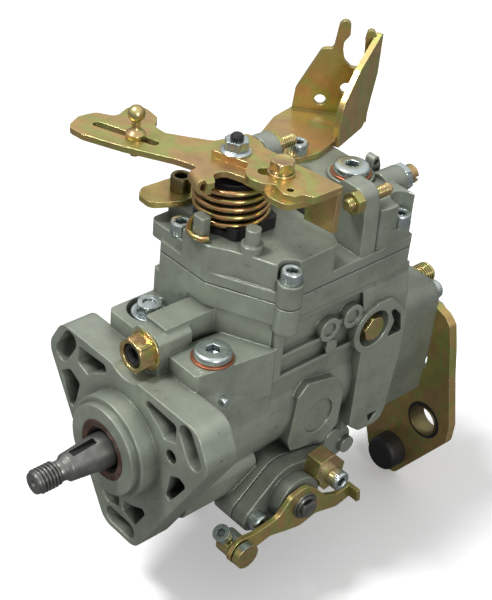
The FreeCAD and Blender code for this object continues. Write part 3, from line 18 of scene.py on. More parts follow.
import bmesh
import bpy
from bmesh.types import BMesh, BMVert
from bpy.types import Material, Node, NodeSocket, NodeTree, Object
from mathutils import Matrix, Vector

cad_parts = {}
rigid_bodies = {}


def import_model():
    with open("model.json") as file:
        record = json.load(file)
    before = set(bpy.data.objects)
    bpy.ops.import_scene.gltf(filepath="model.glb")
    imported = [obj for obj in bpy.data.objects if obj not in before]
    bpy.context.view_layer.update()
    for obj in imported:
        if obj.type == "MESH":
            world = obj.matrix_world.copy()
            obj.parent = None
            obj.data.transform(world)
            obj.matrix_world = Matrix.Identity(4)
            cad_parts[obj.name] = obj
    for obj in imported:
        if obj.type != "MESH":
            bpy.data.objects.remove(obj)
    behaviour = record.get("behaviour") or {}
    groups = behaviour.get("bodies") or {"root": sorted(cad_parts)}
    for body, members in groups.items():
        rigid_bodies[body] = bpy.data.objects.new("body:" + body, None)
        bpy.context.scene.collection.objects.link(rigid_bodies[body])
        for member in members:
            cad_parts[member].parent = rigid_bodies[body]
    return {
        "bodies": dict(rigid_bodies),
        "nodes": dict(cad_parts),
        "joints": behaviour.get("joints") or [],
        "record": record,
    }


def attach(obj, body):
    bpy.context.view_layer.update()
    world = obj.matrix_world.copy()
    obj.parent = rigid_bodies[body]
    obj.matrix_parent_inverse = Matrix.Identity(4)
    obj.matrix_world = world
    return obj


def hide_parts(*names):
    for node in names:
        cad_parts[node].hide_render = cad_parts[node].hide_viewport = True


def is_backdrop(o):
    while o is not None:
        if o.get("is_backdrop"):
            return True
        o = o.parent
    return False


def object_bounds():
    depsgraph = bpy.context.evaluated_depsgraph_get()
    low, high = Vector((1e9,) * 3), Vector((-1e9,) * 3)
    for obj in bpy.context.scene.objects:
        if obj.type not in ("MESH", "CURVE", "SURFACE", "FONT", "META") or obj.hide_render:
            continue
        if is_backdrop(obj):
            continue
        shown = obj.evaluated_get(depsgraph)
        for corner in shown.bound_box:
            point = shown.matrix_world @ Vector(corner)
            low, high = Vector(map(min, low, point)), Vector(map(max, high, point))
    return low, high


log = logging.getLogger("pump")
MM = 0.001
Radius = float | Callable[[float], float]
Row = tuple[Radius, float]
Point = tuple[float, float, float]
ORIGIN: Point = (0.0, 0.0, 0.0)
# Corners nearer than this are one.
TOUCHING = 1e-6
# Edges sharper than this many degrees stay sharp, on rings, cut threads and hexagons.
ROUND_EDGE, WORKED_EDGE, FLAT_EDGE = 40.0, 30.0, 32.0


class Slot(str, Enum):
    """Material slots of the record."""

    CAST = "cast_aluminium"
    COVER = "cast_cover"
    HEAD = "head_casting"
    GASKET = "gasket"
    ZINC = "zinc_steel"
    GOLD = "gold_zinc"
    SHEET = "gold_sheet"
    COPPER = "copper"
    BRONZE = "bronze"
    SEAL = "seal_rubber"
    RUBBER = "black_rubber"
    PLASTIC = "black_plastic"
    BLACK = "black_steel"
    SPRING = "spring_copper"
    WIRE = "spring_steel"
    GROUND = "ground_steel"
    DARK = "dark_cover"


class Skin(str, Enum):
    """Kinds of surface that share one node group."""

    CASTING = "casting"
    PASSIVATE = "passivate"
    PLATED = "plated"
    MOULDED = "moulded"


class Axis(str, Enum):
    """Row axis that a turned piece points along."""

    X = "X"
    LEFT = "-X"
    Y = "Y"
    Z = "Z"


AXIS_TURNS = {
    Axis.X: (0.0, math.radians(90), 0.0),
    Axis.LEFT: (0.0, math.radians(-90), 0.0),
    Axis.Y: (math.radians(-90), 0.0, 0.0),
    Axis.Z: (0.0, 0.0, 0.0),
}


@dataclass(frozen=True)
class Finish:
    """One finish: its colours, its sheen and the size of its grain."""

    slot: Slot
    skin: Skin
    colour: tuple[float, float, float]
    accent: tuple[float, float, float]
    roughness: float = 0.5
    metallic: float = 0.0
    grain: float = 900.0
    relief: float = 0.2
    # Edge brightening, partly wear and partly painted highlight.
    edge: float = 0.6
    # Strength of the painted shade in recesses.
    painted_shade_amount: float = 0.5


# The last two numbers of each finish set its edge brightening, partly wear and partly painted
# highlight, and its painted shade in recesses.
FINISHES = (
    Finish(Slot.CAST, Skin.CASTING, (0.325, 0.36, 0.298), (0.20, 0.225, 0.182),
           0.40, 0.4, 1100, 0.3, 0.9, 1.0),
    Finish(Slot.COVER, Skin.CASTING, (0.31, 0.342, 0.284), (0.195, 0.218, 0.176),
           0.41, 0.4, 1100, 0.3, 0.9, 0.95),
    Finish(Slot.HEAD, Skin.CASTING, (0.26, 0.287, 0.24), (0.165, 0.185, 0.15),
           0.42, 0.4, 1500, 0.18, 0.7, 0.8),
    Finish(Slot.DARK, Skin.CASTING, (0.25, 0.272, 0.228), (0.14, 0.155, 0.125),
           0.40, 0.4, 1000, 0.3, 0.8, 1.0),
    Finish(Slot.GASKET, Skin.MOULDED, (0.035, 0.037, 0.035), (0.055, 0.055, 0.05),
           0.8, 0.0, 1500, 0.2, 0.3, 0.3),
    Finish(Slot.ZINC, Skin.PLATED, (0.60, 0.67, 0.66), (0.34, 0.39, 0.39),
           0.25, 0.95, 700, 0.06, 0.5, 1.0),
    Finish(Slot.GOLD, Skin.PASSIVATE, (0.66, 0.585, 0.26), (0.55, 0.54, 0.25),
           0.26, 0.9, 60, 0.05, 0.6, 0.9),
    Finish(Slot.SHEET, Skin.PASSIVATE, (0.60, 0.49, 0.155), (0.45, 0.49, 0.155),
           0.31, 0.8, 26, 0.07, 0.85, 0.8),
    Finish(Slot.COPPER, Skin.PLATED, (0.42, 0.16, 0.085), (0.25, 0.10, 0.06),
           0.42, 0.9, 500, 0.08, 0.4, 0.6),
    Finish(Slot.BRONZE, Skin.PLATED, (0.20, 0.165, 0.075), (0.13, 0.10, 0.05),
           0.34, 0.9, 500, 0.08, 0.5, 0.9),
    Finish(Slot.SEAL, Skin.MOULDED, (0.13, 0.07, 0.048), (0.07, 0.038, 0.027),
           0.42, 0.35, 1200, 0.2, 0.5, 0.6),
    Finish(Slot.RUBBER, Skin.MOULDED, (0.007, 0.007, 0.007), (0.014, 0.014, 0.014),
           0.6, 0.0, 900, 0.3, 0.4, 0.3),
    Finish(Slot.PLASTIC, Skin.MOULDED, (0.006, 0.006, 0.007), (0.011, 0.011, 0.011),
           0.38, 0.0, 1400, 0.12, 0.4, 0.3),
    Finish(Slot.BLACK, Skin.PLATED, (0.04, 0.04, 0.04), (0.02, 0.02, 0.02),
           0.38, 0.7, 800, 0.1, 0.6, 0.5),
    Finish(Slot.SPRING, Skin.PASSIVATE, (0.58, 0.34, 0.15), (0.46, 0.38, 0.13),
           0.22, 0.9, 80, 0.03, 0.3, 1.0),
    Finish(Slot.WIRE, Skin.PLATED, (0.35, 0.35, 0.36), (0.25, 0.25, 0.26),
           0.3, 0.9, 700, 0.05, 0.3, 0.5),
    Finish(Slot.GROUND, Skin.PLATED, (0.25, 0.255, 0.235), (0.14, 0.142, 0.13),
           0.34, 0.85, 650, 0.1, 0.7, 1.0),
)


class Board:
    """Short ways to place and join nodes on one node tree."""

    def __init__(self, tree: NodeTree) -> None:
        self.tree = tree

    def add(self, kind: str, inputs: dict | None = None, **props: object) -> Node:
        """Adds a node.

        Args:
            kind: The node's type name.
            inputs: Values or sockets by input name or index.
            **props: Properties of the node itself.

        Returns:
            The new node.
        """
        node = self.tree.nodes.new(kind)
        for name, value in props.items():
            setattr(node, name, value)
        for name, value in (inputs or {}).items():
            self.feed(value, node.inputs[name])
        return node

    def feed(self, value: object, socket: NodeSocket) -> None:
        """Joins a socket to an input, or sets the input's value."""
        if isinstance(value, NodeSocket):
            self.tree.links.new(value, socket)
        else:
            socket.default_value = value

    def close(self, *results: NodeSocket) -> NodeTree:
        """Joins the results to the group's outputs and returns the tree."""
        out = self.add("NodeGroupOutput")
        for index, result in enumerate(results):
            self.tree.links.new(result, out.inputs[index])
        return self.tree

    @cached_property
    def here(self) -> NodeSocket:
        """The piece's own coordinates."""
        return self.add("ShaderNodeTexCoord").outputs["Object"]

    def math(self, operation: str, a: object, b: object,
             clamp: bool = False) -> NodeSocket:
        """Adds a math node and returns its output."""
        return self.add("ShaderNodeMath", {0: a, 1: b}, operation=operation,
                        use_clamp=clamp).outputs[0]

    def times(self, a: object, b: object, clamp: bool = False) -> NodeSocket:
        """Multiplies two values."""
        return self.math("MULTIPLY", a, b, clamp)

    def plus(self, a: object, b: object) -> NodeSocket:
        """Adds two values."""
        return self.math("ADD", a, b)

    def minus(self, a: object, b: object) -> NodeSocket:
        """Takes the second value from the first."""
        return self.math("SUBTRACT", a, b)

    def mix(self, factor: object, a: object, b: object) -> NodeSocket:
        """Mixes two colours and returns the result."""
        return self.add("ShaderNodeMix", {0: factor, 6: a, 7: b}, data_type="RGBA").outputs[2]

    def ramp(self, factor: object, low: tuple[float, float],
             high: tuple[float, float]) -> NodeSocket:
        """Maps a factor through two grey stops and returns the value."""
        return self.add("ShaderNodeMapRange", {0: factor, 1: low[0], 2: high[0],
                                               3: low[1], 4: high[1]}).outputs[0]

    def noise(self, scale: object, detail: float = 3.0, rough: float = 0.6,
              bend: float = 0.0) -> NodeSocket:
        """Adds a noise and returns its grey value."""
        return self.add("ShaderNodeTexNoise", {
            "Vector": self.here, "Scale": scale, "Detail": detail, "Roughness": rough,
            "Distortion": bend}).outputs[0]

    def scale(self, colour: object, by: tuple[float, float, float]) -> NodeSocket:
        """Multiplies a colour and returns the result."""
        node = self.add("ShaderNodeVectorMath", {0: colour, 1: by}, operation="MULTIPLY")
        return node.outputs[0]


class SkinGroups:
    """The node groups that the finishes share."""

    INPUTS = (
        ("Colour", "NodeSocketColor", (0.5, 0.5, 0.5, 1)),
        ("Accent", "NodeSocketColor", (0.3, 0.3, 0.3, 1)),
        ("Roughness", "NodeSocketFloat", 0.5),
        ("Grain", "NodeSocketFloat", 900.0),
        ("Relief", "NodeSocketFloat", 0.2),
        # Edge sets the edge brightening, partly wear and partly painted highlight; the last input
        # sets the painted shade in recesses.
        ("Edge", "NodeSocketFloat", 0.5),
        ("Grime", "NodeSocketFloat", 0.5),
    )
    RUST = (0.26, 0.20, 0.12, 1)
    PIT = (0.10, 0.105, 0.09, 1)
    ROSE = (0.62, 0.32, 0.16, 1)
    PINK = (0.55, 0.28, 0.19, 1)
    LEAF = (0.36, 0.52, 0.13, 1)
    DULL = (0.23, 0.19, 0.075, 1)
    # Edge colour on chromate: scuffed zinc, partly painted highlight.
    RUBBED_AND_HIGHLIT = (0.86, 0.86, 0.42, 1)
    # Painted shade colours for recesses on chromate and on black parts.
    GOLD_RECESS_SHADE = (0.10, 0.07, 0.02, 1)
    BLACK_RECESS_SHADE = (0.004, 0.004, 0.004, 1)

    def __init__(self) -> None:
        # Edge mask: partly wear and partly painted highlight.
        self.worn_and_highlit = self._edge_wear_and_highlight_mask()
        # Recess mask: painted shade taken from ambient occlusion.
        self.painted_shade = self._painted_recess_shade()
        self.groups = {
            Skin.CASTING: self._casting(),
            Skin.PASSIVATE: self._passivate(),
            Skin.PLATED: self._plated(),
            Skin.MOULDED: self._moulded(),
        }

    @staticmethod
    def _open_mask(name: str, label: str, value: float) -> tuple[Board, NodeSocket]:
        """Opens a group that takes one length and gives a mask."""
        tree = bpy.data.node_groups.new(name, "ShaderNodeTree")
        face = tree.interface
        face.new_socket(label, in_out="INPUT", socket_type="NodeSocketFloat").default_value = value
        face.new_socket("Mask", in_out="OUTPUT", socket_type="NodeSocketFloat")
        board = Board(tree)
        return board, board.add("NodeGroupInput").outputs[0]

    def _edge_wear_and_highlight_mask(self) -> NodeTree:
        """Mask of the edges brightened partly as rubbed wear and partly as painted highlight, one
        at an edge and nought on a face.
        """
        b, radius = self._open_mask("Edge wear and painted highlight", "Radius", 0.8 * MM)
        soft = b.add("ShaderNodeBevel", {"Radius": radius}, samples=4)
        geo = b.add("ShaderNodeNewGeometry")
        dot = b.add("ShaderNodeVectorMath", {0: soft.outputs[0], 1: geo.outputs["Normal"]},
                    operation="DOT_PRODUCT")
        mask = b.ramp(dot.outputs["Value"], (0.995, 0.0), (0.86, 1.0))
        broken = b.ramp(b.noise(320.0), (0.3, 0.35), (0.6, 1.0))
        return b.close(b.times(mask, broken))

    def _painted_recess_shade(self) -> NodeTree:
        """Mask of painted shade in the recesses, taken from ambient occlusion, one in a deep
        corner and nought in the open.
        """
        b, reach = self._open_mask("Painted recess shade", "Reach", 9 * MM)
        near = b.add("ShaderNodeAmbientOcclusion", {"Distance": reach}, samples=6,
                     only_local=True)
        uneven = b.ramp(b.noise(60.0, 4.0), (0.3, 0.8), (0.7, 1.1))
        mask = b.ramp(near.outputs["AO"], (0.86, 0.0), (0.30, 1.0))
        return b.close(b.times(mask, uneven, clamp=True))

    def _start(self, name: str) -> tuple[Board, bpy.types.NodeOutputs]:
        """Opens a skin's group and returns its board and its shared inputs."""
        tree = bpy.data.node_groups.new(name, "ShaderNodeTree")
        face = tree.interface
        for label, kind, value in self.INPUTS:
            face.new_socket(label, in_out="INPUT", socket_type=kind).default_value = value
        for label, kind in (("Colour", "NodeSocketColor"), ("Roughness", "NodeSocketFloat"),
                            ("Normal", "NodeSocketVector")):
            face.new_socket(label, in_out="OUTPUT", socket_type=kind)
        board = Board(tree)
        return board, board.add("NodeGroupInput").outputs

    @staticmethod
    def _end(b: Board, colour: object, roughness: object, height: object, strength: object,
             distance: float, radius: float) -> NodeTree:
        """Closes a skin's group with a rounded edge and a fine relief."""
        soft = b.add("ShaderNodeBevel", {"Radius": radius}, samples=4)
        bump = b.add("ShaderNodeBump", {"Strength": strength, "Distance": distance,
                                        "Height": height, "Normal": soft.outputs[0]})
        return b.close(colour, roughness, bump.outputs[0])

    @staticmethod
    def _mask(b: Board, group: NodeTree, size: float,
              amount: object) -> NodeSocket:
        """Places a mask's group and scales what it gives."""
        node = b.add("ShaderNodeGroup", {0: size}, node_tree=group)
        return b.times(node.outputs[0], amount, clamp=True)

    @staticmethod
    def _uneven(b: Board, roughness: object, cloud: object,
                amount: float) -> NodeSocket:
        """Varies the roughness with a noise."""
        return b.plus(roughness, b.times(b.minus(cloud, 0.5), amount))

    @staticmethod
    def _coat(b: Board, base: object, *layers: tuple) -> object:
        """Lays colours over a base, each by its own factor."""
        for factor, colour in layers:
            base = b.mix(factor, base, colour)
        return base

    def _casting(self) -> NodeTree:
        """Rough cast aluminium: grain, pores, stains, edges brightened partly by wear and partly
        as painted highlight, and painted shade in the recesses.
        """
        b, inp = self._start("Cast skin")
        fine = b.noise(inp["Grain"])
        broad = b.noise(34.0, 4.0)
        cloud = b.noise(150.0, 3.0, 0.7)
        pores = b.add("ShaderNodeTexVoronoi", {"Vector": b.here, "Scale": 210.0})
        stain = b.ramp(broad, (0.42, 0.0), (0.66, 1.0))
        speck = b.ramp(cloud, (0.35, 0.0), (0.75, 0.6))
        rust = b.times(b.ramp(b.noise(19.0, 5.0), (0.60, 0.0), (0.72, 0.35)), speck)
        pit = b.times(b.ramp(pores.outputs["Distance"], (0.10, 1.0), (0.16, 0.0)),
                      b.ramp(broad, (0.5, 0.0), (0.6, 0.7)))
        # Edges brightened partly as rubbed metal and partly as painted highlight.
        edge = self._mask(b, self.worn_and_highlit, 0.9 * MM, inp["Edge"])
        # Painted shade: recesses darkened towards a deep tone of the accent.
        painted_shade = self._mask(b, self.painted_shade, 11 * MM, inp["Grime"])
        blend = b.math("MAXIMUM", b.times(stain, 0.75), b.times(speck, 0.8))
        base = self._coat(
            b, inp["Colour"], (blend, inp["Accent"]), (rust, self.RUST), (pit, self.PIT),
            (b.times(edge, 0.9), b.scale(inp["Colour"], (1.75, 1.75, 1.7))),
            (painted_shade, b.scale(inp["Accent"], (0.17, 0.17, 0.16))))
        rough = b.minus(self._uneven(b, inp["Roughness"], cloud, 0.25), b.times(edge, 0.12))
        height = b.minus(b.plus(fine, b.times(cloud, 0.8)), pit)
        return self._end(b, base, rough, height, inp["Relief"], 0.35 * MM, 1.2 * MM)

    def _passivate(self) -> NodeTree:
        """Yellow chromate: gold drifting to rose and to green, scuffed bright at the edges with a
        painted highlight there too, and painted shade in the recesses.
        """
        b, inp = self._start("Yellow passivate")
        wave = b.noise(inp["Grain"], 2.5, 0.55, 0.8)
        mottle = b.noise(130.0, 4.0, 0.65)
        scratch = b.noise(900.0, 2.0)
        drift = b.ramp(wave, (0.42, 0.0), (0.54, 1.0))
        rose = b.times(b.ramp(wave, (0.44, 1.0), (0.36, 0.0)),
                       b.ramp(wave, (0.30, 0.0), (0.40, 1.0)))
        pink = b.times(b.ramp(wave, (0.56, 0.0), (0.64, 1.0)),
                       b.ramp(mottle, (0.35, 0.5), (0.65, 1.0)))
        leaf = b.times(b.ramp(wave, (0.50, 1.0), (0.44, 0.0)),
                       b.ramp(wave, (0.55, 0.0), (0.49, 1.0)))
        dull = b.ramp(mottle, (0.40, 0.0), (0.8, 0.5))
        # Edges scuffed bright, partly wear and partly painted highlight.
        edge = self._mask(b, self.worn_and_highlit, 0.6 * MM, inp["Edge"])
        # Painted shade darkens the recesses to a dark brown.
        painted_shade = self._mask(b, self.painted_shade, 5 * MM, inp["Grime"])
        tint = self._coat(
            b, inp["Colour"], (drift, inp["Accent"]), (b.times(rose, 0.6), self.ROSE),
            (b.times(pink, 0.5), self.PINK), (b.times(leaf, 0.7), self.LEAF),
            (dull, self.DULL), (b.times(edge, 0.9), self.RUBBED_AND_HIGHLIT), (painted_shade, self.GOLD_RECESS_SHADE))
        rough = self._uneven(b, inp["Roughness"], mottle, 0.35)
        height = b.plus(scratch, b.times(mottle, 1.5))
        return self._end(b, tint, rough, height, inp["Relief"], 0.3 * MM, 0.45 * MM)

    def _plated(self) -> NodeTree:
        """Bright metal: cloudy plating, fine scratches, edges lightened partly as wear and partly
        as painted highlight, and painted shade in the recesses.
        """
        b, inp = self._start("Bright plating")
        mottle = b.noise(160.0, 4.0)
        fine = b.noise(inp["Grain"], 2.0)
        cloudy = b.ramp(mottle, (0.38, 0.0), (0.72, 0.9))
        # Edges lightened, partly wear and partly painted highlight.
        edge = self._mask(b, self.worn_and_highlit, 0.4 * MM, inp["Edge"])
        # Painted shade darkens the recesses.
        painted_shade = self._mask(b, self.painted_shade, 4 * MM, inp["Grime"])
        metal = self._coat(
            b, inp["Colour"], (cloudy, inp["Accent"]),
            (edge, b.scale(inp["Colour"], (1.35, 1.35, 1.35))),
            (painted_shade, b.scale(inp["Accent"], (0.14, 0.14, 0.15))))
        rough = self._uneven(b, inp["Roughness"], mottle, 0.3)
        return self._end(b, metal, rough, fine, inp["Relief"], 0.2 * MM, 0.3 * MM)

    def _moulded(self) -> NodeTree:
        """Rubber, plastic and fibre: soft mottle and a fine grain."""
        b, inp = self._start("Moulded skin")
        mottle = b.noise(120.0)
        fine = b.noise(inp["Grain"], 2.0)
        cloudy = b.ramp(mottle, (0.4, 0.0), (0.7, 1.0))
        # Edges lightened, partly wear and partly painted highlight.
        edge = self._mask(b, self.worn_and_highlit, 0.6 * MM, inp["Edge"])
        # Painted shade darkens the recesses to black.
        painted_shade = self._mask(b, self.painted_shade, 4 * MM, inp["Grime"])
        base = self._coat(
            b, inp["Colour"], (cloudy, inp["Accent"]),
            (b.times(edge, 0.5), b.scale(inp["Colour"], (2.2, 2.2, 2.2))), (painted_shade, self.BLACK_RECESS_SHADE))
        rough = self._uneven(b, inp["Roughness"], mottle, 0.25)
        return self._end(b, base, rough, fine, inp["Relief"], 0.25 * MM, 0.6 * MM)


class FinishBook:
    """Makes one material per finish, dresses the pieces and joins them to their bodies."""

    def __init__(self) -> None:
        groups = SkinGroups().groups
        self.materials = {f.slot: self._make(f, groups[f.skin]) for f in FINISHES}
        self.copies = CopyTree()
        self.wires = WireTree()

    @staticmethod
    def _make(finish: Finish, group: NodeTree) -> Material:
        """Builds one material around its shared group."""
        mat = bpy.data.materials.new("finish_" + finish.slot.value)
        mat.use_nodes = True
        board = Board(mat.node_tree)
        shader = mat.node_tree.nodes["Principled BSDF"]
        skin = board.add("ShaderNodeGroup", node_tree=group)
        for name, value in (("Colour", (*finish.colour, 1)), ("Accent", (*finish.accent, 1)),
                            ("Roughness", finish.roughness), ("Grain", finish.grain),
                            ("Relief", finish.relief), ("Edge", finish.edge),
                            ("Grime", finish.painted_shade_amount)):
            board.feed(value, skin.inputs[name])
        for result, name in (("Colour", "Base Color"), ("Roughness", "Roughness"),
                             ("Normal", "Normal")):
            board.feed(skin.outputs[result], shader.inputs[name])
        board.feed(finish.metallic, shader.inputs["Metallic"])
        return mat

    def dress(self, obj: Object, slot: Slot) -> None:
        """Gives an object one finish."""
        obj.data.materials.clear()
        obj.data.materials.append(self.materials[slot])

    def second(self, obj: Object, slot: Slot,
               chosen: Callable[[Sequence[Vector]], bool]) -> None:
        """Gives the chosen faces of a piece another finish.

        Args:
            obj: The piece, already dressed.
            slot: The other finish.
            chosen: Picks a face by its corners in millimetres.
        """
        obj.data.materials.append(self.materials[slot])
        index = len(obj.data.materials) - 1
        for face in obj.data.polygons:
            if chosen([obj.data.vertices[v].co / MM for v in face.vertices]):
                face.material_index = index

    def place(self, obj: Object, slot: Slot, body: str, *nodes: str) -> Object:
        """Dresses a new piece and joins it to its body.

        Args:
            obj: The finished piece.
            slot: The finish.
            body: The body that carries it.
            *nodes: Plain pieces that it stands for.

        Returns:
            The same piece.
        """
        self.dress(obj, slot)
        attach(obj, body)
        if nodes:
            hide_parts(*nodes)
        log.info("piece %s: %d faces on %s", obj.name, len(obj.data.polygons), body)
        return obj

    def row(self, name: str, template: Object, points: Sequence[Point], axis: Axis,
            slot: Slot, *nodes: str) -> None:
        """Repeats a template on the pump as one piece.

        Args:
            name: The new piece's name.
            template: The object to repeat; it is removed.
            points: Places in millimetres.
            axis: Row axis that the template's Z turns to.
            slot: The finish.
            *nodes: Plain pieces that the row stands for.
        """
        values = {"Template": template, "Turn": AXIS_TURNS[axis],
                  "Finish": self.materials[slot]}
        obj = self.copies.make(name, [Vector(p) for p in points], [], values)
        bpy.data.objects.remove(template)
        self.place(obj, slot, "pump", *nodes)


def mesh_piece(name: str, bm: BMesh, smooth: float = ROUND_EDGE) -> Object:
    """Turns a built mesh into an object, smooth where its edges are shallow.

    Args:
        name: The piece's name.
        bm: The finished mesh, freed here.
        smooth: Edges sharper than this many degrees stay sharp.

    Returns:
        The new object.
    """
    bmesh.ops.recalc_face_normals(bm, faces=bm.faces)
    data = bpy.data.meshes.new(name)
    limit = math.radians(smooth)
    for face in bm.faces:
        face.smooth = True
    for edge in bm.edges:
        edge.smooth = len(edge.link_faces) == 2 and edge.calc_face_angle(0.0) < limit
    bm.to_mesh(data)
    bm.free()
    obj = bpy.data.objects.new(name, data)
    bpy.context.scene.collection.objects.link(obj)
    return obj


def along(point: Point, axis: Axis) -> Matrix:
    """A place at a point in millimetres with its Z along a row axis."""
    x, y, _ = AXIS_TURNS[axis]
    turn = Matrix.Rotation(y, 4, "Y") @ Matrix.Rotation(x, 4, "X")
    return Matrix.Translation(Vector(point) * MM) @ turn


def ring_spots(radius: float, y: float, angles: Sequence[float]) -> list[Point]:
    """Points round the shaft axis at the given angles."""
    return [(radius * math.cos(a), y, radius * math.sin(a)) for a in angles]


def flats(across: float, turn: float = 0.0, ease: float = 0.0) -> Callable[[float], float]:
    """Radius of a hexagon by angle.

    Args:
        across: Width across the flats.
        turn: Angle of one corner in degrees.
        ease: Amount taken off the corners.

    Returns:
        A function from angle to radius.
    """
    def radius(angle: float) -> float:
        """Radius of the outline at one angle."""
        step = math.degrees(angle) - turn
        local = math.radians(step % 60.0 - 30.0)
        return min(across / 2.0 / math.cos(local), across / math.sqrt(3.0) - ease)
    return radius


def knurl(radius: float, teeth: int, depth: float) -> Callable[[float], float]:
    """Radius of a straight knurl by angle."""
    return lambda angle: radius - depth * (0.5 + 0.5 * math.cos(teeth * angle))


def hexagon_rows(across: float, turn: float, low: float, high: float, bore: float,
                 low_chamfer: bool = True) -> list[Row]:
    """Outline of a chamfered hexagon, as on a nut or a bolt head."""
    corner = across / math.sqrt(3.0) - across / 2.0
    side, eased = flats(across, turn), flats(across, turn, corner * 0.9)
    drop = corner * 0.55
    rows: list[Row] = [(bore, low)]
    rows += [(eased, low), (side, low + drop)] if low_chamfer else [(side, low)]
    return rows + [(side, high - drop), (eased, high), (bore, high)]


class Lathe:
    """A mesh that grows by outlines and threads turned about an axis, in millimetres."""

    THREAD_STEPS = 40
    ROOT_HALF = 0.48
    CREST_HALF = 0.12
    SUNK = 0.3
    RUN_OUT = 12.0
    THINNEST = 0.02

    def __init__(self, point: Point = ORIGIN, axis: Axis = Axis.Z) -> None:
        self.bm = bmesh.new()
        self.place = along(point, axis)

    @classmethod
    def copy(cls, node: Object) -> Lathe:
        """Starts from a carried-over piece's mesh with its loose triangles merged."""
        lathe = cls()
        lathe.bm.from_mesh(node.data)
        bmesh.ops.remove_doubles(lathe.bm, verts=lathe.bm.verts, dist=TOUCHING)
        return lathe

    def at(self, point: Point, axis: Axis) -> Lathe:
        """Moves the axis and returns the lathe."""
        self.place = along(point, axis)
        return self

    def tilt(self, angle: float) -> Lathe:
        """Leans the axis by an angle in radians and returns the lathe."""
        self.place = self.place @ Matrix.Rotation(angle, 4, "X")
        return self

    def piece(self, name: str, smooth: float = ROUND_EDGE) -> Object:
        """Closes the mesh and returns it as an object."""
        return mesh_piece(name, self.bm, smooth)

    def _corner(self, radius: float, angle: float, height: float) -> BMVert:
        """Adds one corner by its place round the axis."""
        spot = (radius * MM * math.cos(angle), radius * MM * math.sin(angle), height * MM)
        return self.bm.verts.new(self.place @ Vector(spot))

    def turn(self, *rows: Row, steps: int = 72) -> Lathe:
        """Turns a closed outline about the axis.

        Args:
            *rows: Pairs of radius and height; a radius may be a function of the angle.
            steps: Columns round the axis.

        Returns:
            The same lathe.
        """
        rings = []
        for radius, z in rows:
            if not callable(radius) and radius < TOUCHING:
                rings.append([self._corner(0.0, 0.0, z)])
                continue
            angles = [2 * math.pi * k / steps for k in range(steps)]
            rings.append([self._corner(radius(t) if callable(radius) else radius, t, z)
                          for t in angles])
        for a, b in zip(rings, rings[1:] + rings[:1]):
            if len(a) == 1 and len(b) == 1:
                continue
            for k in range(steps):
                n = (k + 1) % steps
                quad = [a[k % len(a)], a[n % len(a)], b[n % len(b)], b[k % len(b)]]
                self.bm.faces.new(list(dict.fromkeys(quad)))
        return self

    def thread(self, radius: float, start: float, end: float, pitch: float,
               depth: float) -> Lathe:
        """Winds one screw ridge round a shank.

        Args:
            radius: Crest radius.
            start: Height of the first turn.
            end: Height of the last turn.
            pitch: Rise per turn.
            depth: Crest to root.

        Returns:
            The same lathe.
        """
        steps = self.THREAD_STEPS
        count = int(steps * (end - start) / pitch)
        root = radius - depth
        section = ((root, -self.ROOT_HALF), (radius, -self.CREST_HALF),
                   (radius, self.CREST_HALF), (root, self.ROOT_HALF), (root - self.SUNK, 0.0))
        rows = []
        for k in range(count + 1):
            t = 2 * math.pi * k / steps
            fade = max(min(1.0, k / self.RUN_OUT, (count - k) / self.RUN_OUT), self.THINNEST)
            rows.append([self._corner(root - self.SUNK + (r - root + self.SUNK) * fade, t,
                                      start + pitch * k / steps + dz * pitch)
                         for r, dz in section])
        for a, b in zip(rows, rows[1:]):
            for i in range(len(section)):
                j = (i + 1) % len(section)
                self.bm.faces.new((a[i], a[j], b[j], b[i]))
        self.bm.faces.new(rows[0])
        self.bm.faces.new(list(reversed(rows[-1])))
        return self

    def thin(self, limit: float, low: float, high: float, factor: float) -> Lathe:
        """Draws a shank in towards the axis.

        Args:
            limit: Only corners within this radius move.
            low: Height where the thin part starts.
            high: Height where it ends.
            factor: What is left of the radius.

        Returns:
            The same lathe.
        """
        back = self.place.inverted()
        for vert in self.bm.verts:
            p = back @ vert.co
            if low * MM <= p.z <= high * MM and math.hypot(p.x, p.y) < limit * MM:
                vert.co = self.place @ Vector((p.x * factor, p.y * factor, p.z))
        return self


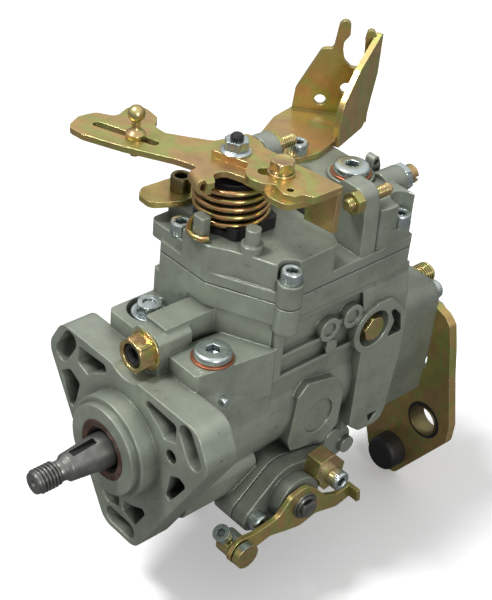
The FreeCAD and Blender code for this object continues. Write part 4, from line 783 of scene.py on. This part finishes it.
class MeshTree:
    """Geometry nodes whose result is kept as one plain mesh."""

    NAME = ""
    INPUTS: tuple[tuple[str, str], ...] = ()

    def __init__(self) -> None:
        tree = bpy.data.node_groups.new(self.NAME, "GeometryNodeTree")
        face = tree.interface
        for way in ("OUTPUT", "INPUT"):
            face.new_socket("Geometry", in_out=way, socket_type="NodeSocketGeometry")
        self.keys = {label: face.new_socket(label, in_out="INPUT", socket_type=kind).identifier
                     for label, kind in (*self.INPUTS, ("Finish", "NodeSocketMaterial"))}
        b = Board(tree)
        inp = b.add("NodeGroupInput").outputs
        real = b.add("GeometryNodeRealizeInstances", {0: self.shape(b, inp)})
        paint = b.add("GeometryNodeSetMaterial", {0: real.outputs[0], "Material": inp["Finish"]})
        self.tree = b.close(paint.outputs[0])

    def shape(self, b: Board, inp: bpy.types.NodeOutputs) -> NodeSocket:
        """Builds the nodes that make the shape and returns their result."""
        raise NotImplementedError

    def make(self, name: str, points: Sequence[Vector], edges: Sequence[tuple[int, int]],
             values: dict[str, object]) -> Object:
        """Runs the tree on a few points.

        Args:
            name: The new piece's name.
            points: Places in millimetres.
            edges: Pairs of points that are joined.
            values: The tree's inputs by label.

        Returns:
            One plain mesh object.
        """
        data = bpy.data.meshes.new(name + "_points")
        data.from_pydata([p * MM for p in points], edges, [])
        raw = bpy.data.objects.new(name + "_points", data)
        bpy.context.scene.collection.objects.link(raw)
        mod = raw.modifiers.new("Shape", "NODES")
        mod.node_group = self.tree
        for label, value in values.items():
            mod[self.keys[label]] = value
        graph = bpy.context.evaluated_depsgraph_get()
        solid = bpy.data.meshes.new_from_object(raw.evaluated_get(graph))
        bpy.data.objects.remove(raw)
        obj = bpy.data.objects.new(name, solid)
        bpy.context.scene.collection.objects.link(obj)
        return obj


class CopyTree(MeshTree):
    """Sets a template on points and turns it."""

    NAME = "Row of copies"
    INPUTS = (("Template", "NodeSocketObject"), ("Turn", "NodeSocketVector"))

    def shape(self, b: Board, inp: bpy.types.NodeOutputs) -> NodeSocket:
        """Places the copies and returns them as instances."""
        info = b.add("GeometryNodeObjectInfo", {"Object": inp["Template"]})
        turn = b.add("FunctionNodeEulerToRotation", {0: inp["Turn"]})
        spots = b.add("GeometryNodeMeshToPoints", {0: inp["Geometry"]})
        return b.add("GeometryNodeInstanceOnPoints", {
            "Points": spots.outputs[0], "Instance": info.outputs["Geometry"],
            "Rotation": turn.outputs[0]}).outputs[0]


class WireTree(MeshTree):
    """Draws a round wire along a path."""

    NAME = "Wire along a path"
    INPUTS = (("Wire radius", "NodeSocketFloat"), ("Sides", "NodeSocketInt"))

    def shape(self, b: Board, inp: bpy.types.NodeOutputs) -> NodeSocket:
        """Sweeps a circle along the path and returns the smooth tube."""
        ring = b.add("GeometryNodeCurvePrimitiveCircle", {"Resolution": inp["Sides"],
                                                         "Radius": inp["Wire radius"]})
        path = b.add("GeometryNodeMeshToCurve", {0: inp["Geometry"]})
        tube = b.add("GeometryNodeCurveToMesh", {"Curve": path.outputs[0], "Fill Caps": True,
                                                 "Profile Curve": ring.outputs[0]})
        return b.add("GeometryNodeSetShadeSmooth", {0: tube.outputs[0]}).outputs[0]


@dataclass
class SocketScrews:
    """The socket head screws of the pump, repeated from one knurled template."""

    head: float = 5.0
    high: float = 6.0
    key: float = 5.0
    shank: float = 3.0
    length: float = 8.0
    teeth: int = 24
    cover: tuple[Point, ...] = ((34.0, 61.5, 82.0), (29.1, 135.5, 83.4), (-24.0, 47.5, 82.0),
                                (-26.0, 119.5, 100.0))
    rear: tuple[Point, ...] = ((26.2, 172.0, 28.2), (-26.2, 172.0, 28.2), (-27.0, 172.0, -26.3),
                               (25.5, 177.0, -26.3), (27.0, 177.0, 14.2))
    right: tuple[Point, ...] = ((42.1, 47.2, -43.8), (51.1, 89.8, -33.2))
    left: tuple[Point, ...] = ((-38.5, 47.2, -43.8), (-38.5, 89.8, -33.2))

    def template(self) -> Object:
        """One screw with its seat at the origin."""
        key = flats(self.key, 12.0)
        side = knurl(self.head, self.teeth, 0.16)
        return Lathe().turn(
            (0.0, -self.length), (self.shank, -self.length), (self.shank, 0.0),
            (self.head - 0.3, 0.0), (side, 0.25), (side, self.high - 0.9),
            (self.head - 0.15, self.high - 0.6), (self.head - 0.65, self.high),
            (flats(self.key + 0.5, 12.0), self.high), (key, self.high - 0.3),
            (key, self.high - 3.0), (0.0, self.high - 4.0), steps=96).piece("screw_template")

    def build(self, book: FinishBook) -> None:
        """Sets every socket screw."""
        for name, points, axis, nodes in (
                ("cover_socket_screws", self.cover, Axis.Z, ("cover_screws",)),
                ("head_socket_screws", self.rear, Axis.Y, ("head_screws",)),
                ("device_socket_screws", self.right, Axis.X, ("device_screws",)),
                ("cap_socket_screws", self.left, Axis.LEFT, ())):
            book.row(name, self.template(), points, axis, Slot.ZINC, *nodes)


@dataclass
class Fittings:
    """Plugs, inlet, pressure valve, outlets and pivot screws."""

    plug_spots: tuple[Point, ...] = ((20.5, 31.5, 45.6), (0.7, 129.4, 98.5))
    plug_radius: float = 8.7
    inlet: Point = (0.5, 0.0, 47.0)
    inlet_across: float = 15.6
    valve: Point = (-24.0, 31.5, 0.0)
    pivot: tuple[float, float] = (121.4, 32.5)
    outlet_ring: float = 25.0
    outlet_first: float = 69.0
    head_face: float = 172.0

    def plugs(self, book: FinishBook) -> None:
        """The two screw plugs with their sockets."""
        r, key = self.plug_radius, flats(6.0, 20.0)
        plug = Lathe().turn(
            (0.0, -7.0), (5.0, -7.0), (5.0, 1.2), (r - 0.3, 1.2), (r, 1.5), (r, 3.5),
            (r - 0.25, 4.1), (r - 0.8, 4.6), (r - 1.6, 4.85), (5.6, 5.0),
            (flats(6.6, 20.0), 5.0), (key, 4.7), (key, 1.6), (0.0, 0.6))
        book.row("screw_plugs", plug.piece("plug_template", FLAT_EDGE), self.plug_spots, Axis.Z,
                 Slot.ZINC, "plugs")

    def inlet_union(self, book: FinishBook) -> None:
        """The inlet's hexagon with the rings inside it and its washer."""
        across, turn, foot, top = self.inlet_across, 10.0, 1.5, 9.2
        corner = across / math.sqrt(3.0) - across / 2.0
        side = flats(across, turn)
        union = Lathe(self.inlet, Axis.Y).turn(
            (5.6, 7.6), (6.0, 1.9), (6.6, foot), (flats(across, turn, corner * 0.95), foot),
            (side, foot + corner * 0.6), (side, top - corner * 0.4),
            (flats(across, turn, corner * 0.9), top), (5.0, top), (5.0, 22.0), (3.0, 22.0),
            (3.0, 7.6))
        book.place(union.piece("inlet_union", FLAT_EDGE), Slot.GOLD, "pump", "inlet_fitting")
        seal = ((5.5, 4.6), (5.5, 3.2), (5.0, 2.5), (4.2, 2.4), (3.5, 2.8), (3.3, 3.4),
                (3.3, 4.6))
        insert = ((5.5, 4.7), (3.4, 4.7), (3.2, 4.2), (3.0, 4.2), (2.6, 7.5), (5.5, 7.5))
        washer = ((5.4, 10.4), (5.4, 9.2), (9.5, 9.2), (9.8, 9.4), (9.8, 10.2), (9.5, 10.4))
        for name, slot, rows in (("inlet_seal", Slot.RUBBER, seal),
                                 ("inlet_insert", Slot.BLACK, insert),
                                 ("inlet_seal_washer", Slot.GOLD, washer)):
            book.place(Lathe(self.inlet, Axis.Y).turn(*rows).piece(name), slot, "pump")

    def plug_washers(self, book: FinishBook) -> None:
        """The copper washers under the plugs."""
        lathe = Lathe()
        for spot in self.plug_spots:
            lathe.at(spot, Axis.Z).turn((5.3, 0.0), (9.5, 0.0), (9.8, 0.3), (9.8, 0.9),
                                        (9.5, 1.2), (5.3, 1.2))
        book.place(lathe.piece("plug_washers"), Slot.COPPER, "pump", "sealing_washers")

    def pressure_valve(self, book: FinishBook) -> None:
        """The regulating valve in its recess."""
        across, turn = 11.0, 15.0
        side = flats(across, turn)
        lathe = Lathe(self.valve, Axis.Z)
        lathe.turn((0.0, 30.0), (5.0, 30.0), (5.0, 41.0), (8.3, 41.0), (8.6, 41.3), (8.6, 44.4),
                   (8.2, 45.0), (0.0, 45.0))
        lathe.turn((0.0, 45.0), (side, 45.0), (side, 49.4), (flats(across, turn, 0.7), 50.0),
                   (3.4, 50.0), (3.0, 49.6), (3.0, 49.0), (0.0, 48.8))
        book.place(lathe.piece("valve_body", FLAT_EDGE), Slot.ZINC, "pump", "pressure_valve")

    def outlets(self, book: FinishBook) -> None:
        """Four outlet holders with their union threads, and the plug between them."""
        lathe = Lathe().turn(*hexagon_rows(14.0, 0.0, 0.0, 8.0, 1.5))
        lathe.turn((1.5, 7.9), (5.2, 7.9), (5.2, 19.4), (4.7, 20.0), (3.8, 20.0), (1.5, 17.2))
        lathe.thread(6.0, 8.6, 19.0, 1.5, 0.85)
        angles = [math.radians(self.outlet_first + 90 * k) for k in range(4)]
        spots = ring_spots(self.outlet_ring, self.head_face, angles)
        book.row("outlet_unions", lathe.piece("outlet_template", FLAT_EDGE), spots, Axis.Y,
                 Slot.GOLD, "outlet_holders")
        lathe = Lathe((0.0, self.head_face, 0.0), Axis.Y).turn(
            (0.0, -6.0), (7.0, -6.0), (7.0, 0.0), *hexagon_rows(15.0, 0.0, 0.0, 6.0, 0.0)[1:])
        book.place(lathe.piece("centre_hexagon", FLAT_EDGE), Slot.ZINC, "pump", "centre_plug")

    def pivots(self, book: FinishBook) -> None:
        """The governor lever's pivot screws, deep in their rings, with black rings under the heads
        as painted shade in the bores.
        """
        across, turn = 12.0, 20.0
        side = flats(across, turn)
        screws, shade_rings = Lathe(), Lathe()
        for axis, sign in ((Axis.X, 1.0), (Axis.LEFT, -1.0)):
            screws.at((sign * 28.0, *self.pivot), axis).turn(
                (0.0, -6.0), (5.0, -6.0), (5.0, 0.0), (side, 0.0), (side, 7.6),
                (flats(across, turn, 0.75), 8.3), (5.0, 8.3), (0.0, 8.2))
            # Black rubber rings under the heads stand in for the shade in the deep bores: painted
            # shade.
            shade_rings.at((sign * 30.2, *self.pivot), axis).turn(
                (7.1, 0.0), (9.6, 0.0), (9.6, 1.4), (8.9, 1.8), (7.6, 1.8), (7.1, 1.4))
        book.place(screws.piece("pivot_hexagons", FLAT_EDGE), Slot.GOLD, "pump", "pivot_screws")
        book.place(shade_rings.piece("pivot_seals"), Slot.RUBBER, "pump")

    def build(self, book: FinishBook) -> None:
        """Builds every fitting."""
        self.plugs(book)
        self.inlet_union(book)
        self.plug_washers(book)
        self.pressure_valve(book)
        self.outlets(book)
        self.pivots(book)


@dataclass
class DriveEnd:
    """The shaft with its thread, and the seal round it."""

    crest: float = 6.0
    root: float = 5.15
    pitch: float = 1.75
    seal: float = 15.0
    marks: int = 12

    def shaft(self, node: Object, book: FinishBook) -> None:
        """Cuts the nut thread into the shaft's end."""
        lathe = Lathe.copy(node).at(ORIGIN, Axis.Y)
        lathe.thin(self.crest + 0.1, -49.0, -37.0, self.root / self.crest)
        lathe.thread(self.crest, -48.7, -37.6, self.pitch, self.crest - self.root)
        shaft = book.place(lathe.piece("threaded_shaft", WORKED_EDGE), Slot.GROUND, "drive",
                           "drive_shaft")
        # The keyway's faces take the black rubber finish: painted shade in the recess.
        book.second(shaft, Slot.RUBBER, self._in_shaded_keyway)

    @staticmethod
    def _in_shaded_keyway(corners: Sequence[Vector]) -> bool:
        """Tells whether a face lies in the keyway, which takes the black finish as painted shade.
        """
        return all(abs(p.x) < 2.1 and -29.7 < p.y < -16.2 and 5.3 < p.z < 9.0 for p in corners)

    def seal_ring(self, book: FinishBook) -> None:
        """The shaft seal: case, lip and pressed marks."""
        case = Lathe(ORIGIN, Axis.Y).turn(
            (11.0, -5.4), (self.seal, -5.4), (self.seal, -12.0), (14.7, -12.3), (12.9, -12.3),
            (12.5, -12.1), (11.6, -12.1), (11.2, -11.7), (11.0, -10.6), steps=96)
        book.place(case.piece("seal_case"), Slot.SEAL, "pump", "shaft_seal")
        lip = Lathe(ORIGIN, Axis.Y).turn((11.0, -11.2), (11.0, -5.6), (9.0, -5.6), (8.8, -7.2),
                                         (9.4, -9.4), (10.4, -11.2), steps=96)
        book.place(lip.piece("seal_lip"), Slot.RUBBER, "pump")
        mark = Lathe()
        for side in (-0.42, 0.42):
            mark.at((side, 0.0, 0.0), Axis.Z).turn((0.0, -0.12), (0.34, -0.12), (0.34, 0.12),
                                                   (0.0, 0.12), steps=10)
        angles = [2 * math.pi * (k + 0.25) / self.marks for k in range(self.marks)]
        book.row("seal_marks", mark.piece("mark_template"), ring_spots(13.7, -12.3, angles),
                 Axis.Y, Slot.RUBBER)

    def build(self, nodes: dict, book: FinishBook) -> None:
        """Builds the drive end."""
        self.shaft(nodes["drive_shaft"], book)
        self.seal_ring(book)


@dataclass(frozen=True)
class StopScrew:
    """One adjusting screw along Y: its thread, and its nut's flats, turn and two ends."""

    x: float
    z: float
    crest: float
    slim: float
    shank: tuple[float, float]
    thread: tuple[float, float]
    nut: tuple[float, float, float, float]


@dataclass
class StopScrews:
    """The idle and full speed stops, the full load screw and their nuts."""

    idle: StopScrew = StopScrew(-21.0, 112.0, 3.0, 0.80, (85.0, 112.0), (86.6, 110.4),
                                (10.0, 30.0, 96.0, 100.5))
    full: StopScrew = StopScrew(26.0, 103.0, 3.0, 0.80, (99.0, 129.0), (100.5, 127.4),
                                (10.0, 30.0, 103.0, 107.5))
    load: StopScrew = StopScrew(10.5, 92.5, 4.0, 0.86, (115.0, 155.9), (139.0, 155.6),
                                (13.0, 10.0, 152.0, 156.0))
    pitch: float = 1.35

    def build(self, nodes: dict, book: FinishBook) -> None:
        """Threads the shanks of the screws and adds their nuts."""
        shanks = Lathe.copy(nodes["adjusting_screws"])
        for screw in (self.idle, self.full, self.load):
            shanks.at((screw.x, 0.0, screw.z), Axis.Y)
            shanks.thin(screw.crest + 0.1, *screw.shank, screw.slim)
            shanks.thread(screw.crest, *screw.thread, self.pitch, screw.crest * (1.0 - screw.slim))
        book.place(shanks.piece("threaded_stops", WORKED_EDGE), Slot.GOLD, "pump",
                   "adjusting_screws")
        for name, slot, screws, plain in (
                ("stop_nuts", Slot.GOLD, (self.idle, self.full), ("locknuts",)),
                ("load_nut", Slot.ZINC, (self.load,), ())):
            nuts = Lathe()
            for screw in screws:
                nuts.at((screw.x, 0.0, screw.z), Axis.Y)
                nuts.turn(*hexagon_rows(*screw.nut, screw.crest))
            book.place(nuts.piece(name, FLAT_EDGE), slot, "pump", *plain)


@dataclass
class LeverFasteners:
    """Nut, bolt and ball of the control lever."""

    shaft: Point = (-12.0, 66.0, 123.5)
    bolt: Point = (13.5, 69.5, 123.5)
    ball: Point = (-51.2, 41.3, 120.0)
    ball_radius: float = 4.0
    ball_height: float = 11.5

    def nut(self, book: FinishBook) -> None:
        """The flanged nut on the control shaft."""
        lathe = Lathe(self.shaft, Axis.Z)
        lathe.turn((3.0, 0.0), (6.9, 0.0), (7.1, 0.25), (7.1, 0.7), (6.0, 1.5), (3.0, 1.5))
        lathe.turn(*hexagon_rows(10.0, 25.0, 1.1, 6.0, 3.0, False))
        book.place(lathe.piece("flange_nut", FLAT_EDGE), Slot.ZINC, "control", "shaft_nut")

    def lever_bolt(self, book: FinishBook) -> None:
        """The clamping bolt with its washer and spring washer."""
        across, turn = 10.0, 5.0
        side = flats(across, turn)
        lathe = Lathe(self.bolt, Axis.Z)
        lathe.turn((3.1, 0.0), (6.0, 0.0), (6.2, 0.2), (6.2, 1.0), (6.0, 1.2), (3.1, 1.2))
        lathe.tilt(0.02).turn((3.1, 1.3), (5.2, 1.3), (5.2, 2.3), (3.1, 2.3))
        lathe.at(self.bolt, Axis.Z).turn(
            (0.0, -6.5), (3.0, -6.5), (3.0, 2.4), (side, 2.4), (side, 6.0),
            (flats(across, turn, 0.7), 6.6), (4.0, 6.6), (3.6, 6.45), (0.0, 6.45))
        book.place(lathe.piece("clamping_bolt", FLAT_EDGE), Slot.GOLD, "control", "lever_bolt")

    def ball_stud(self, book: FinishBook) -> None:
        """The ball stud with its nut under the lever."""
        r, mid = self.ball_radius, self.ball_height
        rows: list[Row] = [(0.0, -9.0), (2.2, -9.0), (2.2, 0.0), (4.4, 0.0), (4.6, 0.3),
                           (4.6, 2.0), (4.1, 2.6), (3.0, 3.4), (2.1, 4.4), (1.9, 5.6),
                           (2.0, 7.4)]
        for k in range(8):
            a = math.radians(-60 + 150 * k / 8)
            rows.append((r * math.cos(a), mid + r * math.sin(a)))
        rows.append((0.0, mid + r))
        lathe = Lathe(self.ball, Axis.Z).turn(*rows, steps=48)
        x, y, z = self.ball
        lathe.at((x, y, z - 7.0), Axis.Z).turn(*hexagon_rows(8.0, 12.0, 0.0, 4.0, 2.2))
        book.place(lathe.piece("throttle_ball", 35.0), Slot.GOLD, "control", "ball_stud")

    def build(self, book: FinishBook) -> None:
        """Builds the lever's fasteners."""
        self.nut(book)
        self.lever_bolt(book)
        self.ball_stud(book)


@dataclass
class ReturnSprings:
    """The coil spring under the control lever, and the lever's rolled lip."""

    centre: tuple[float, float] = (-12.0, 66.0)
    radius: float = 16.6
    wire: float = 1.35
    sides: int = 12
    low: float = 94.4
    high: float = 113.6
    turns: float = 4.75
    first: float = -104.0
    steps: int = 48
    lower_leg: tuple[Point, ...] = ((-1.5, 44.2, 91.4), (-3.4, 41.6, 91.0), (-7.6, 40.4, 90.9),
                                    (-11.8, 41.2, 91.2), (-14.6, 44.0, 92.0),
                                    (-16.0, 47.0, 93.2))
    lip_line: tuple[Point, Point] = ((-14.6, 45.7, 116.2), (-5.0, 42.3, 116.2))
    lip_radii: tuple[float, float] = (3.8, 1.9)

    def coil(self, book: FinishBook) -> None:
        """Winds the spring from its lower leg upwards."""
        path = [Vector(p) for p in self.lower_leg]
        count = int(self.steps * self.turns)
        for k in range(count + 1):
            t = math.radians(self.first) + 2 * math.pi * k / self.steps
            path.append(Vector((self.centre[0] + self.radius * math.cos(t),
                                self.centre[1] + self.radius * math.sin(t),
                                self.low + (self.high - self.low) * k / count)))
        values = {"Wire radius": self.wire * MM, "Sides": self.sides,
                  "Finish": book.materials[Slot.SPRING]}
        edges = [(k, k + 1) for k in range(len(path) - 1)]
        spring = book.wires.make("outer_return_spring", path, edges, values)
        book.place(spring, Slot.SPRING, "pump", "return_spring")

    def lever(self, node: Object, book: FinishBook) -> None:
        """Takes the lever's flat tab back to make room for the rolled lip."""
        lathe = Lathe.copy(node)
        for vert in lathe.bm.verts:
            x, y, z = vert.co / MM
            if -16.5 < x < -1.5 and 41.0 < y < 49.0 and z < 108.0:
                vert.co.z = self.high * MM
        book.place(lathe.piece("throttle_lever", WORKED_EDGE), Slot.SHEET, "control",
                   "control_lever")

    def lip(self, book: FinishBook) -> None:
        """The lip rolled from the lever's edge above the lower leg."""
        bm = bmesh.new()
        a, b = (Vector(p) for p in self.lip_line)
        out = Vector((b.y - a.y, a.x - b.x, 0.0)).normalized()
        rows = []
        for k in range(15):
            t = math.radians(112 - 205 * k / 14)
            pairs = []
            for r in self.lip_radii:
                shift = out * (r * math.cos(t)) + Vector((0, 0, r * math.sin(t)))
                pairs += [a + shift, b + shift]
            rows.append([bm.verts.new(p * MM) for p in pairs])
        for p, q in zip(rows, rows[1:]):
            for i, j in ((0, 1), (1, 3), (3, 2), (2, 0)):
                bm.faces.new((p[i], p[j], q[j], q[i]))
        for row in (rows[0], rows[-1]):
            bm.faces.new((row[0], row[1], row[3], row[2]))
        book.place(mesh_piece("rolled_lip", bm, 50.0), Slot.SHEET, "control")

    def build(self, nodes: dict, book: FinishBook) -> None:
        """Builds the spring and reshapes the lever."""
        self.coil(book)
        self.lever(nodes["control_lever"], book)
        self.lip(book)


@dataclass
class SmallParts:
    """Sleeves, buffer and the plug in the housing's flank."""

    spacer: Point = (-40.0, 60.0, 92.5)
    mount: Point = (38.5, 172.0, -47.2)
    buffer: Point = (22.1, 172.0, -77.4)
    side_plug: Point = (31.9, 30.7, 28.0)

    def build(self, book: FinishBook) -> None:
        """Builds the small turned parts."""
        sleeves = Lathe(self.spacer, Axis.Z)
        sleeves.turn((3.0, 0.3), (3.3, 0.0), (4.7, 0.0), (5.0, 0.3), (5.0, 6.8), (4.6, 7.4),
                     (3.5, 7.4), (3.0, 6.9))
        sleeves.at(self.mount, Axis.Y).turn(
            (8.0, -0.8), (8.3, -1.0), (8.8, -1.0), (9.0, -0.8), (9.0, 5.5), (10.0, 5.5),
            (10.0, 9.7), (9.7, 10.0), (8.4, 10.0), (8.0, 9.6), steps=96)
        book.place(sleeves.piece("spacer_sleeves"), Slot.BRONZE, "pump", "sleeves")
        mounts = Lathe(self.buffer, Axis.Y).turn(
            (0.0, -10.5), (7.6, -10.5), (8.6, -10.1), (9.4, -9.2), (9.7, -8.0), (9.7, -0.6),
            (9.4, 0.0), (4.0, 0.0), (4.0, 5.0), (5.6, 5.0), (5.3, 6.2), (4.4, 7.8), (0.0, 8.0))
        mounts.at(self.mount, Axis.Y).turn((9.0, -0.2), (10.5, -0.2), (10.5, 5.2), (9.0, 5.2),
                                           steps=96)
        book.place(mounts.piece("rubber_mounts"), Slot.RUBBER, "pump", "rubber_buffer")
        plug = Lathe(self.side_plug, Axis.X).turn(
            (0.0, -3.0), (2.1, -3.0), (2.1, 0.5), (1.7, 1.0), (0.9, 1.35), (0.0, 1.45), steps=32)
        book.place(plug.piece("side_ball_plug", 60.0), Slot.ZINC, "pump")


@dataclass
class Studio:
    """Camera, floor, lamps and world."""

    eye: Point = (0.3771, -0.3097, 0.4189)
    azimuth: float = 44.85
    elevation: float = 34.64
    roll: float = 5.8
    focal: float = 1404.0
    tall: int = 600
    sensor: float = 36.0
    floor_z: float = -0.0965
    floor_half: float = 3.0
    middle: Point = (0.0, 0.07, 0.03)
    sunward: Point = (-0.30, -0.42, 1.0)
    side: Point = (0.90, -0.30, 0.42)

    def camera(self) -> None:
        """Places the camera as the photograph was taken."""
        a, e, t = (math.radians(v) for v in (self.azimuth, self.elevation, self.roll))
        back = Vector((math.sin(a) * math.cos(e), -math.cos(a) * math.cos(e), math.sin(e)))
        right = Vector((math.cos(a), math.sin(a), 0.0))
        up = back.cross(right)
        x = right * math.cos(t) + up * math.sin(t)
        y = up * math.cos(t) - right * math.sin(t)
        data = bpy.data.cameras.new("view")
        data.sensor_fit = "AUTO"
        data.sensor_width = self.sensor
        data.lens = self.focal * self.sensor / self.tall
        data.clip_start = 0.01
        data.clip_end = 20.0
        cam = bpy.data.objects.new("view", data)
        turn = Matrix((x, y, back)).transposed().to_4x4()
        cam.matrix_world = Matrix.Translation(Vector(self.eye)) @ turn
        bpy.context.scene.collection.objects.link(cam)
        bpy.context.scene.camera = cam

    def floor(self) -> None:
        """Lays a pale floor under the pump that shows white and keeps the shadow."""
        bm = bmesh.new()
        size = self.floor_half
        bm.faces.new([bm.verts.new((sx * size, sy * size, self.floor_z))
                      for sx, sy in ((-1, -1), (1, -1), (1, 1), (-1, 1))])
        obj = mesh_piece("floor", bm)
        mat = bpy.data.materials.new("pale_floor")
        mat.use_nodes = True
        board = Board(mat.node_tree)
        shader = mat.node_tree.nodes["Principled BSDF"]
        shader.inputs["Base Color"].default_value = (0.96, 0.96, 0.965, 1)
        shader.inputs["Roughness"].default_value = 0.9
        dull = board.add("ShaderNodeBsdfDiffuse", {"Color": (0.16, 0.16, 0.16, 1)})
        rays = board.add("ShaderNodeLightPath")
        glow = board.add("ShaderNodeEmission", {"Color": (1, 1, 1, 1), "Strength": 0.07})
        both = board.add("ShaderNodeAddShader", {0: shader.outputs[0], 1: glow.outputs[0]})
        seen = board.add("ShaderNodeMixShader", {
            0: rays.outputs["Is Camera Ray"], 1: dull.outputs[0], 2: both.outputs[0]})
        out = mat.node_tree.nodes["Material Output"]
        mat.node_tree.links.new(seen.outputs[0], out.inputs[0])
        obj.data.materials.append(mat)
        obj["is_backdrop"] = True

    @staticmethod
    def light(name: str, kind: str, place: Point, way: Vector, power: float) -> bpy.types.Light:
        """Hangs one light.

        Args:
            name: The light's name.
            kind: AREA or SUN.
            place: Where it hangs, in metres.
            way: Direction in which it shines.
            power: Watts, or the sun's strength.

        Returns:
            The light's data, to be given its size.
        """
        data = bpy.data.lights.new(name, kind)
        data.energy = power
        obj = bpy.data.objects.new(name, data)
        obj.location = place
        obj.rotation_mode = "QUATERNION"
        obj.rotation_quaternion = way.to_track_quat("-Z", "Y")
        bpy.context.scene.collection.objects.link(obj)
        return data

    def world(self) -> None:
        """Lights the pump softly; the camera and bright metal see white."""
        world = bpy.data.worlds.new("studio")
        world.use_nodes = True
        tree = world.node_tree
        tree.nodes.clear()
        b = Board(tree)
        rays = b.add("ShaderNodeLightPath")
        way = b.add("ShaderNodeNewGeometry").outputs["Incoming"]
        rise = b.add("ShaderNodeSeparateXYZ", {0: way}).outputs["Z"]
        soft = b.ramp(rise, (0.1, 0.22), (-0.9, 0.62))
        bright = b.ramp(rise, (0.05, 0.25), (-0.75, 1.0))
        glossy = rays.outputs["Is Glossy Ray"]
        strength = b.plus(b.times(soft, b.minus(1.0, glossy)), b.times(bright, glossy))
        strength = b.math("MAXIMUM", strength, rays.outputs["Is Camera Ray"])
        back = b.add("ShaderNodeBackground", {"Color": (1, 1, 1, 1), "Strength": strength})
        out = b.add("ShaderNodeOutputWorld")
        tree.links.new(back.outputs[0], out.inputs[0])
        bpy.context.scene.world = world

    def build(self) -> None:
        """Sets the whole studio."""
        self.camera()
        self.floor()
        self.world()
        key = self.light("key", "SUN", ORIGIN, -Vector(self.sunward), 2.5)
        key.angle = math.radians(14.0)
        aim = Vector(self.middle) - Vector(self.side)
        lamp = self.light("side", "AREA", self.side, aim, 4.5)
        lamp.shape, lamp.size = "DISK", 0.30
        bpy.context.scene.view_settings.view_transform = "Standard"


class Pump:
    """The whole dressed pump."""

    def __init__(self, frame: dict) -> None:
        self.frame = frame
        self.book = FinishBook()

    def dress_nodes(self) -> None:
        """Gives every carried-over piece its finish."""
        slots = {s["node"]: s["material_slot"] for s in self.frame["record"]["subparts"]}
        for name, obj in self.frame["nodes"].items():
            self.book.dress(obj, Slot(slots[name]))
        pin = self.frame["nodes"]["clamp_pin"]
        self.book.dress(pin, Slot.GOLD)
        self.book.second(pin, Slot.ZINC, lambda ps: all(p.z > -40.2 for p in ps))

    def build(self) -> None:
        """Adds every piece."""
        nodes = self.frame["nodes"]
        self.dress_nodes()
        DriveEnd().build(nodes, self.book)
        SocketScrews().build(self.book)
        Fittings().build(self.book)
        StopScrews().build(nodes, self.book)
        LeverFasteners().build(self.book)
        ReturnSprings().build(nodes, self.book)
        SmallParts().build(self.book)


def write_size(stage: str, store: dict) -> None:
    """Args:
        stage: Name of the moment.
        store: Boxes kept so far.
    """
    low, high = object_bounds()
    store[stage] = [list(low), list(high)]


def main() -> None:
    """Builds the scene."""
    logging.basicConfig(level=logging.INFO)
    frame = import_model()
    sizes: dict = {}
    write_size("loaded", sizes)
    Studio().build()
    Pump(frame).build()
    write_size("finished", sizes)
    log.info("pump dressed")


if __name__ == "__main__":
    main()
